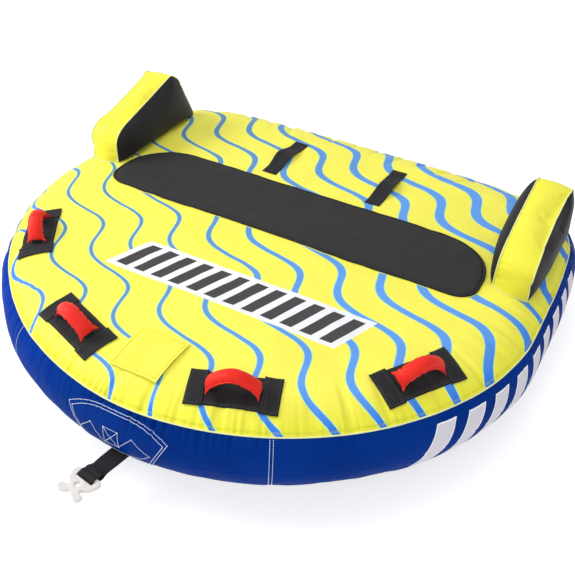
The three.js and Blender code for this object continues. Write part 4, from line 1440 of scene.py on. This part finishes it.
def flare_sleeve(piece, axes, to_end, angles):
    """The seam allowances stand out in small points at both mouths."""
    _, along, upward, across, _ = axes
    points = vertex_array(piece)
    near = np.exp(-to_end / 0.0060)[:, None]
    seam = np.exp(-((1 - np.abs(np.cos(angles))) / 0.10))[None]
    first = np.where(np.arange(SLEEVE_ROWS) < SLEEVE_ROWS / 2, -1, 1)[:, None]
    amount = (near * seam)[..., None]
    side = np.sign(np.cos(angles))[None, :, None]
    out, up, on = SLEEVE["flare"]
    move = amount * (across * side * out + upward * up + along * first[..., None] * on)
    points += move.reshape(-1, 3)
    move_points(piece, points)


def outward_from_line(piece, line):
    """Turns the faces of a tube away from its centre line."""
    total = 0
    for polygon in piece.data.polygons:
        centre = np.array(polygon.center)
        nearest = line[np.argmin(np.linalg.norm(line - centre, axis=1))]
        total += float(np.dot(centre - nearest, np.array(polygon.normal)))
    if total < 0:
        piece.data.flip_normals()


def pucker_sleeve(piece, number, to_end, angles):
    """Creases across the inside of the bend and beside the seams."""
    points, normals = vertex_array(piece), vertex_array(piece, "normal")
    rows = np.arange(SLEEVE_ROWS) / (SLEEVE_ROWS - 1)
    random = np.random.default_rng(70 + number)
    phase = random.uniform(0, 6, 3)
    folds = np.sin(rows * 58 + phase[0]) + 0.6 * np.sin(rows * 83 + phase[1])
    folds = np.maximum(folds + 0.5 * np.sin(rows * 31 + phase[2]), 0) ** 1.3
    inside = np.clip(-np.sin(angles), 0, 1) ** 1.2
    seam = np.exp(-np.abs(np.abs(np.cos(angles)) - 1) / 0.06)
    middle = bump(rows, 0.5, 0.28)[:, None]
    depth = SLEEVE["pucker"] * folds[:, None] * (inside[None] * (0.5 + 1.3 * middle) + 0.7 * seam[None])
    depth *= np.clip(to_end / 0.006, 0, 1)[:, None]
    points -= normals * depth.ravel()[:, None]
    move_points(piece, points)


def patch_piece(name, origin, heading, start, end, width, lift, curl):
    """A flat sewn rectangle on the deck with softly rounded edges and corners that curl up."""
    c, s = math.cos(heading), math.sin(heading)
    thickness = PATCH["thickness"]
    along = np.linspace(start, end, max(6, int((end - start) / 0.0035)))
    across = np.linspace(-width / 2, width / 2, 29)
    a, b = np.meshgrid(along, across, indexing="ij")
    x, y = origin[0] + a * c - b * s, origin[1] + a * s + b * c
    edge = np.minimum(np.minimum(a - start, end - a), width / 2 - np.abs(b))
    corner = np.exp(-np.hypot(np.minimum(a - start, end - a), width / 2 - np.abs(b)) / 0.012)
    rounding = thickness * 0.45 * np.exp(-edge / 0.0012)
    wave = curl * corner + 0.0005 * billow(x, y, 0 * x, 0.05, 0.02, 51) * np.exp(-edge / 0.01)
    wave = np.maximum(wave, 0)
    top = deck_point(x, y, lift + thickness - rounding + wave)
    bottom = deck_point(x, y, lift + 0.0001 + wave)
    piece = slab(name, top, bottom, PATCH_WEB)
    co = vertex_array(piece)
    u = (co[:, 0] - origin[0]) * c + (co[:, 1] - origin[1]) * s
    v = (co[:, 1] - origin[1]) * c - (co[:, 0] - origin[0]) * s
    set_uv(piece, np.stack([v, u], -1))
    return piece


def make_handle(number):
    """The sewn base of a handle, its two end tabs, their stitching and the grip."""
    joint = JOINTS[f"handle_{number}_tilt"]
    heading = math.atan2(joint["axis"][1], joint["axis"][0])
    patch_low, patch_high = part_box(f"handle_{number}_patch")
    origin = ((patch_low.x + patch_high.x) / 2, (patch_low.y + patch_high.y) / 2)
    half, tab = PATCH["length"] / 2, PATCH["tab"]
    strip = patch_piece(f"handle_{number}_patch_web", origin, heading, 0.002 - half, half - 0.002,
                        PATCH["strip"], PATCH["lift"], 0.0)
    take(strip, "hull", "webbing", f"handle_{number}_patch")
    for label, start in (("left", -half), ("right", half - tab)):
        piece = patch_piece(f"handle_{number}_{label}_tab_web", origin, heading, start, start + tab,
                            PATCH["width"], PATCH["tab_lift"], PATCH["curl"])
        take(piece, "hull", "webbing", f"handle_{number}_{label}_tab")
    c, s = math.cos(heading), math.sin(heading)

    def line(points, lift):
        plan = [(origin[0] + a * c - b * s, origin[1] + a * s + b * c) for a, b in points]
        return row_on_deck(plan, lift)

    rows, inset, lift = [], PATCH["tab_inset"], PATCH["tab_row_lift"]
    out, into, edge = half - inset, half - tab + inset, PATCH["width"] / 2 - inset
    second = into + PATCH["second_row"]
    for side in (-1, 1):
        for away in PATCH["side_rows"]:
            b = side * (PATCH["strip"] / 2 - away)
            rows.append(line([(tab - half + 0.001, b), (half - tab - 0.001, b)], PATCH["row_lift"]))
        box = [(side * out, -edge), (side * into, -edge), (side * into, edge), (side * out, edge)]
        rows.append(line([*box, box[0]], lift))
        rows.append(line([(side * second, -edge), (side * second, edge)], lift))
    sew(f"handle_{number}_stitching", rows, GREY_THREAD, "webbing", 0.0046, 0.0013, 0.0007)
    make_sleeve(number)


for handle_number in range(1, 5):
    make_handle(handle_number)

# ---- Valve and its flap --------------------------------------------------------------------

FLAP_LOW, FLAP_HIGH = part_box("valve_flap")
FLAP = {"hem": 0.011, "lift": 0.0030, "corner": 0.0050, "front": 0.0020, "wave": 0.0009}


def flap_lift(x, y):
    """How far the flap stands off the deck: most at its front edge and its front right corner."""
    front = np.clip((FLAP_HIGH.y - y) / (FLAP_HIGH.y - FLAP_LOW.y), 0, 1)
    right = np.clip((x - FLAP_LOW.x) / (FLAP_HIGH.x - FLAP_LOW.x), 0, 1)
    lift = FLAP["lift"] * np.clip(front * 6, 0.15, 1) + FLAP["corner"] * right ** 6 * front ** 0.7
    return lift + FLAP["front"] * front ** 8 + FLAP["wave"] * billow(x, y, 0 * x, 0.09, 0.04, 61)


def make_flap():
    """A square of hemmed cloth sewn along its rear edge."""
    x0, x1, y0, y1 = FLAP_LOW.x, FLAP_HIGH.x, FLAP_LOW.y, FLAP_HIGH.y
    hem = FLAP["hem"]

    def stations(a, b):
        return np.concatenate([
            np.linspace(a, a + hem, 7, endpoint=False), np.linspace(a + hem, b - hem, 34, endpoint=False),
            np.linspace(b - hem, b, 8)])

    x, y = np.meshgrid(stations(x0, x1), stations(y0, y1), indexing="ij")
    lift = flap_lift(x, y)
    edge = np.minimum(np.minimum(x - x0, x1 - x), np.minimum(y - y0, y1 - y))
    folded = 0.0005 * np.clip((hem - edge) / 0.0012, 0, 1)
    rim = 0.0007 * np.exp(-edge / 0.0010)
    top = deck_point(x, y, lift + 0.0011 + folded - rim)
    bottom = deck_point(x, y, lift - folded * 0.3)
    piece = slab("valve_flap_cloth", top, bottom, YELLOW_CLOTH)
    take(piece, "valve_flap", "yellow_fabric", "valve_flap")
    inner = hem - 0.003
    corners = [(x0 + inner, y0 + inner), (x1 - inner, y0 + inner), (x1 - inner, y1 - inner),
               (x0 + inner, y1 - inner)]
    hem_line = resample([*corners, corners[0]], step=0.003)[0]
    rows = [deck_row(hem_line, flap_lift(*hem_line.T) + 0.0020)]
    thread_piece = sew("valve_flap_stitching", rows, YELLOW_THREAD, "yellow_fabric",
                       0.0046, 0.0014, 0.0006, body="valve_flap")


def make_valve_rim():
    """The binding round the opening over the valve."""
    turns = np.linspace(0, 2 * math.pi, 60, endpoint=False)
    circle = np.stack([VALVE_X + VALVE_HOLE * np.cos(turns), VALVE_Y + VALVE_HOLE * np.sin(turns)], -1)
    lay_cord("valve_opening_binding", deck_row(circle, 0.0), (0.0018, 0.0012), YELLOW_CLOTH,
             "yellow_fabric", closed=True)


make_flap()
make_valve_rim()
keep_node("valve_body", VALVE_PLASTIC)
keep_node("valve_cap", VALVE_PLASTIC)
keep_node("main_bladder", VINYL)

# ---- Tow point -----------------------------------------------------------------------------

TOW_FOOT, TOW_SHOULDER, TOW_TOP = (0.075, 0.062), (0.150, 0.204), 0.243
TOW_LIFT, TOW_PATCH, TOW_ARCH = 0.0004, 0.0013, 3.0     # gap under the patch, thickness, arch power
TOW_OPEN = 0.3                      # the slot's share of the patch's width
TOW_ROOT = 0.014                    # how far the strap runs back into the slot from its pivot


def tow_edge(height):
    """Half width of the reinforcement patch at a height."""
    (x0, z0), (x1, z1) = TOW_FOOT, TOW_SHOULDER
    lower = x0 + (x1 - x0) * np.clip((height - z0) / (z1 - z0), 0, 1)
    arch = np.clip((height - z1) / (TOW_TOP - z1), 0, 1)
    return np.where(height <= z1, lower, x1 * (1 - arch) ** (1 / TOW_ARCH))


def make_tow_patch():
    """The doubled cloth round the slot: straight sides below, an arch above."""
    heights = np.concatenate([
        np.linspace(TOW_FOOT[1], SLOT_LOW, 10, endpoint=False), [SLOT_LOW],
        np.linspace(SLOT_HIGH, TOW_SHOULDER[1], 30, endpoint=False),
        TOW_SHOULDER[1] + (TOW_TOP - TOW_SHOULDER[1]) * (1 - np.linspace(1, 0.24, 20) ** TOW_ARCH),
    ])
    share = np.concatenate([np.linspace(-1, -TOW_OPEN, 20, endpoint=False),
                            np.linspace(-TOW_OPEN, TOW_OPEN, 17), np.linspace(TOW_OPEN, 1, 21)[1:]])
    x = tow_edge(heights)[:, None] * share[None]
    z = heights[:, None] + 0 * x
    edge = np.minimum((1 - np.abs(share))[None] * tow_edge(heights)[:, None], np.abs(z - TOW_FOOT[1]))
    rim = 0.0006 * np.exp(-edge / 0.0012)
    top = wall_point(x, z, -1, TOW_LIFT + TOW_PATCH - rim)
    bottom = wall_point(x, z, -1, TOW_LIFT)
    in_height = (heights[:-1] >= SLOT_LOW - 1e-6) & (heights[1:] <= SLOT_HIGH + 1e-6)
    in_width = (share[:-1] >= -TOW_OPEN - 1e-6) & (share[1:] <= TOW_OPEN + 1e-6)
    holes = in_height[:, None] & in_width[None]
    piece = slab("tow_patch_cloth", top, bottom, NAVY_CLOTH, holes)
    take(piece, "hull", "blue_fabric", "tow_reinforcement_patch")


def arch_line(offset):
    """The outer seam of the patch: up one side, over the top and down the other."""
    (x1, z1), drop = TOW_SHOULDER, offset * 0.9
    side = np.linspace(TOW_FOOT[1] + 0.03, z1 - drop, 24)
    edge = [(float(tow_edge(np.array(z))) - offset, z) for z in side]
    across = np.linspace(-1, 1, 61)[1:-1]
    over = [(t * edge[-1][0], z1 - drop + (TOW_TOP - 0.004 - z1) * (1 - abs(t) ** TOW_ARCH)) for t in across]
    return np.array([*[(-x, z) for x, z in edge], *over, *reversed(edge)])


def make_tow_stitching():
    """The white seams of the patch: two arches, two lobes, a bottom line and a crossed box."""
    lift = TOW_LIFT + TOW_PATCH + 0.0002
    lobe_left = [(-0.126, 0.112), (-0.100, 0.153), (-0.069, 0.183), (-0.035, 0.139)]
    lobe_right = [(0.011, 0.139), (0.053, 0.186), (0.071, 0.169), (0.098, 0.148)]
    bottom = [(-0.035, 0.139), (-0.028, 0.120), (-0.008, 0.108), (0.030, 0.107), (0.066, 0.118),
              (0.098, 0.148)]
    lines = [arch_line(0.004), arch_line(0.011), lobe_left, lobe_right, bottom,
             *crossed_box(-0.028, 0.014, 0.139, 0.189)]
    rows = [row_on_wall(line, lift) for line in lines]
    sew("tow_patch_stitching", rows, WHITE_THREAD, "blue_fabric", 0.0058, 0.0008, 0.0007)


def tow_frame():
    """Pivot, direction along the strap and direction across it."""
    pivot = np.array(JOINTS["tow_strap_swing"]["pos_m"])
    across = -np.array(JOINTS["tow_strap_swing"]["axis"])
    along = np.cross(across, np.array([0, 0, 1.0]))
    if along[1] > 0:
        along = -along
    bar = np.array(JOINTS["tow_connector_swing"]["pos_m"])
    return pivot, along, across, float(np.linalg.norm(bar - pivot))


def make_tow_strap():
    """Doubled webbing that runs out of the slot and loops round the connector's bar."""
    pivot, along, across, length = tow_frame()
    up = np.array([0, 0, 1.0])
    ply, gap, eye, slack = 0.0022, 0.0004, 0.0093, 0.0042
    out = np.linspace(-TOW_ROOT, length - 0.016, 26)
    half = ply / 2 + gap / 2
    blend = np.clip((out - (length - 0.040)) / 0.024, 0, 1)
    rise = half + (eye - half) * (blend * blend * (3 - 2 * blend)) * 0.80
    top = np.stack([out, rise], -1)
    turns = np.radians(np.linspace(138, -138, 26))
    reach = eye + slack * np.maximum(np.cos(turns), 0) ** 2
    loop = np.stack([length + reach * np.cos(turns), reach * np.sin(turns)], -1)
    path = np.concatenate([top, loop, top[::-1] * np.array([1, -1])])
    path, _ = resample(path, step=0.0035)
    tangent = np.gradient(path, axis=0)
    tangent /= np.linalg.norm(tangent, axis=1)[:, None]
    normal = np.stack([-tangent[:, 1], tangent[:, 0]], -1)
    share = np.linspace(-1, 1, 15)
    width = 0.0248 - 0.0012 * bump(path[:, 0], 0.055, 0.02)
    fold = 0.0016 * bump(path[:, 0], 0.060, 0.014)
    drawn = 0.005 * bump(path[:, 0], 0.048, 0.018)

    def side(offset):
        line = path + normal * offset
        x = line[:, :1] + drawn[:, None] * np.abs(share)[None]
        z = line[:, 1:] - fold[:, None] * np.abs(share)[None]
        points = pivot + along * x[..., None] + up * z[..., None]
        return points + across * (width[:, None] * share[None])[..., None]

    piece = slab("tow_strap_webbing", side(ply / 2), side(-ply / 2), STRAP_WEB)
    co = vertex_array(piece) - pivot
    set_uv(piece, np.stack([co @ along + co[:, 2], co @ across], -1))
    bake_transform(piece)
    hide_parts("tow_strap")


MOULDING = {"voxel": 0.0011, "softening": 9, "hole_at": 0.034, "boss": 0.0012}


def make_connector():
    """The moulded wishbone: the plate's outline with rounded edges and a low boss round its hole."""
    pivot, along, across, length = tow_frame()
    piece = bpy.data.objects.new("tow_connector_moulding", NODES["tow_connector"].data.copy())
    bpy.context.scene.collection.objects.link(piece)
    add_modifier(piece, "REMESH", mode="VOXEL", voxel_size=MOULDING["voxel"])
    add_modifier(piece, "SMOOTH", factor=0.5, iterations=MOULDING["softening"])
    evaluated = piece.evaluated_get(bpy.context.evaluated_depsgraph_get())
    mesh = bpy.data.meshes.new_from_object(evaluated)
    piece.modifiers.clear()
    piece.data = mesh
    for polygon in mesh.polygons:
        polygon.use_smooth = True
    co = vertex_array(piece)
    middle = pivot + along * (length + MOULDING["hole_at"])
    away = np.linalg.norm((co - middle)[:, :2], axis=1)
    co[:, 2] += np.sign(co[:, 2] - pivot[2]) * MOULDING["boss"] * bump(away, 0.014, 0.006)
    move_points(piece, co)
    mesh.materials.clear()
    mesh.materials.append(PALE_PLASTIC)
    take(piece, "tow_connector", "white_plastic", "tow_connector")


make_tow_patch()
make_tow_stitching()
make_connector()
make_tow_strap()
keep_node("tow_anchor_webbing", SOLID_WEB)

# ---- Rear zipper ---------------------------------------------------------------------------

ZIP_LOW, ZIP_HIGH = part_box("zipper_tape")


def make_zipper():
    """The tape on the rear wall, its staggered teeth and its two rows of stitches."""
    middle = (ZIP_LOW.z + ZIP_HIGH.z) / 2
    x = np.linspace(ZIP_LOW.x, ZIP_HIGH.x, 150)
    height = np.linspace(ZIP_LOW.z, ZIP_HIGH.z, 13)
    gx, gz = np.meshgrid(x, height, indexing="ij")
    edge = np.minimum(np.abs(gz - ZIP_LOW.z), np.abs(ZIP_HIGH.z - gz))
    top = wall_point(gx, gz, 1, 0.0016 - 0.0006 * np.exp(-edge / 0.001))
    tape = slab("zipper_tape_cloth", top, wall_point(gx, gz, 1, 0.0004), SOLID_WEB)
    take(tape, "hull", "zipper_plastic", "zipper_tape")
    pitch, tooth = 0.0030, (0.0009, 0.0024)
    centres = np.arange(ZIP_LOW.x + 0.004, ZIP_HIGH.x - 0.004, pitch)
    vertices, faces = [], []
    for i, centre in enumerate(centres):
        shift = 0.0008 if i % 2 else -0.0008
        corners = [(centre + a * tooth[0], middle + shift + b * tooth[1]) for a, b in
                   ((-1, -1), (1, -1), (1, 1), (-1, 1))]
        xs, zs = np.array(corners).T
        start = len(vertices)
        vertices += list(wall_point(xs, zs, 1, 0.0012)) + list(wall_point(xs, zs, 1, 0.0027))
        ring = [(0, 1, 5, 4), (1, 2, 6, 5), (2, 3, 7, 6), (3, 0, 4, 7), (4, 5, 6, 7), (3, 2, 1, 0)]
        faces += [tuple(start + v for v in face) for face in ring]
    teeth = add_piece("zipper_teeth", vertices, faces, ZIP_PLASTIC, smooth=False)
    tidy_mesh(teeth)
    take(teeth, "hull", "zipper_plastic")
    rows = [row_on_wall([(ZIP_LOW.x + 0.003, z), (ZIP_HIGH.x - 0.003, z)], 0.0018, 1)
            for z in (ZIP_LOW.z + 0.003, ZIP_HIGH.z - 0.003)]
    sew("zipper_stitching", rows, GREY_THREAD, "zipper_plastic", 0.0046, 0.0013, 0.0006)
    keep_node("zipper_slider", ZIP_PLASTIC)
    keep_node("zipper_pull", ZIP_PLASTIC)


make_zipper()
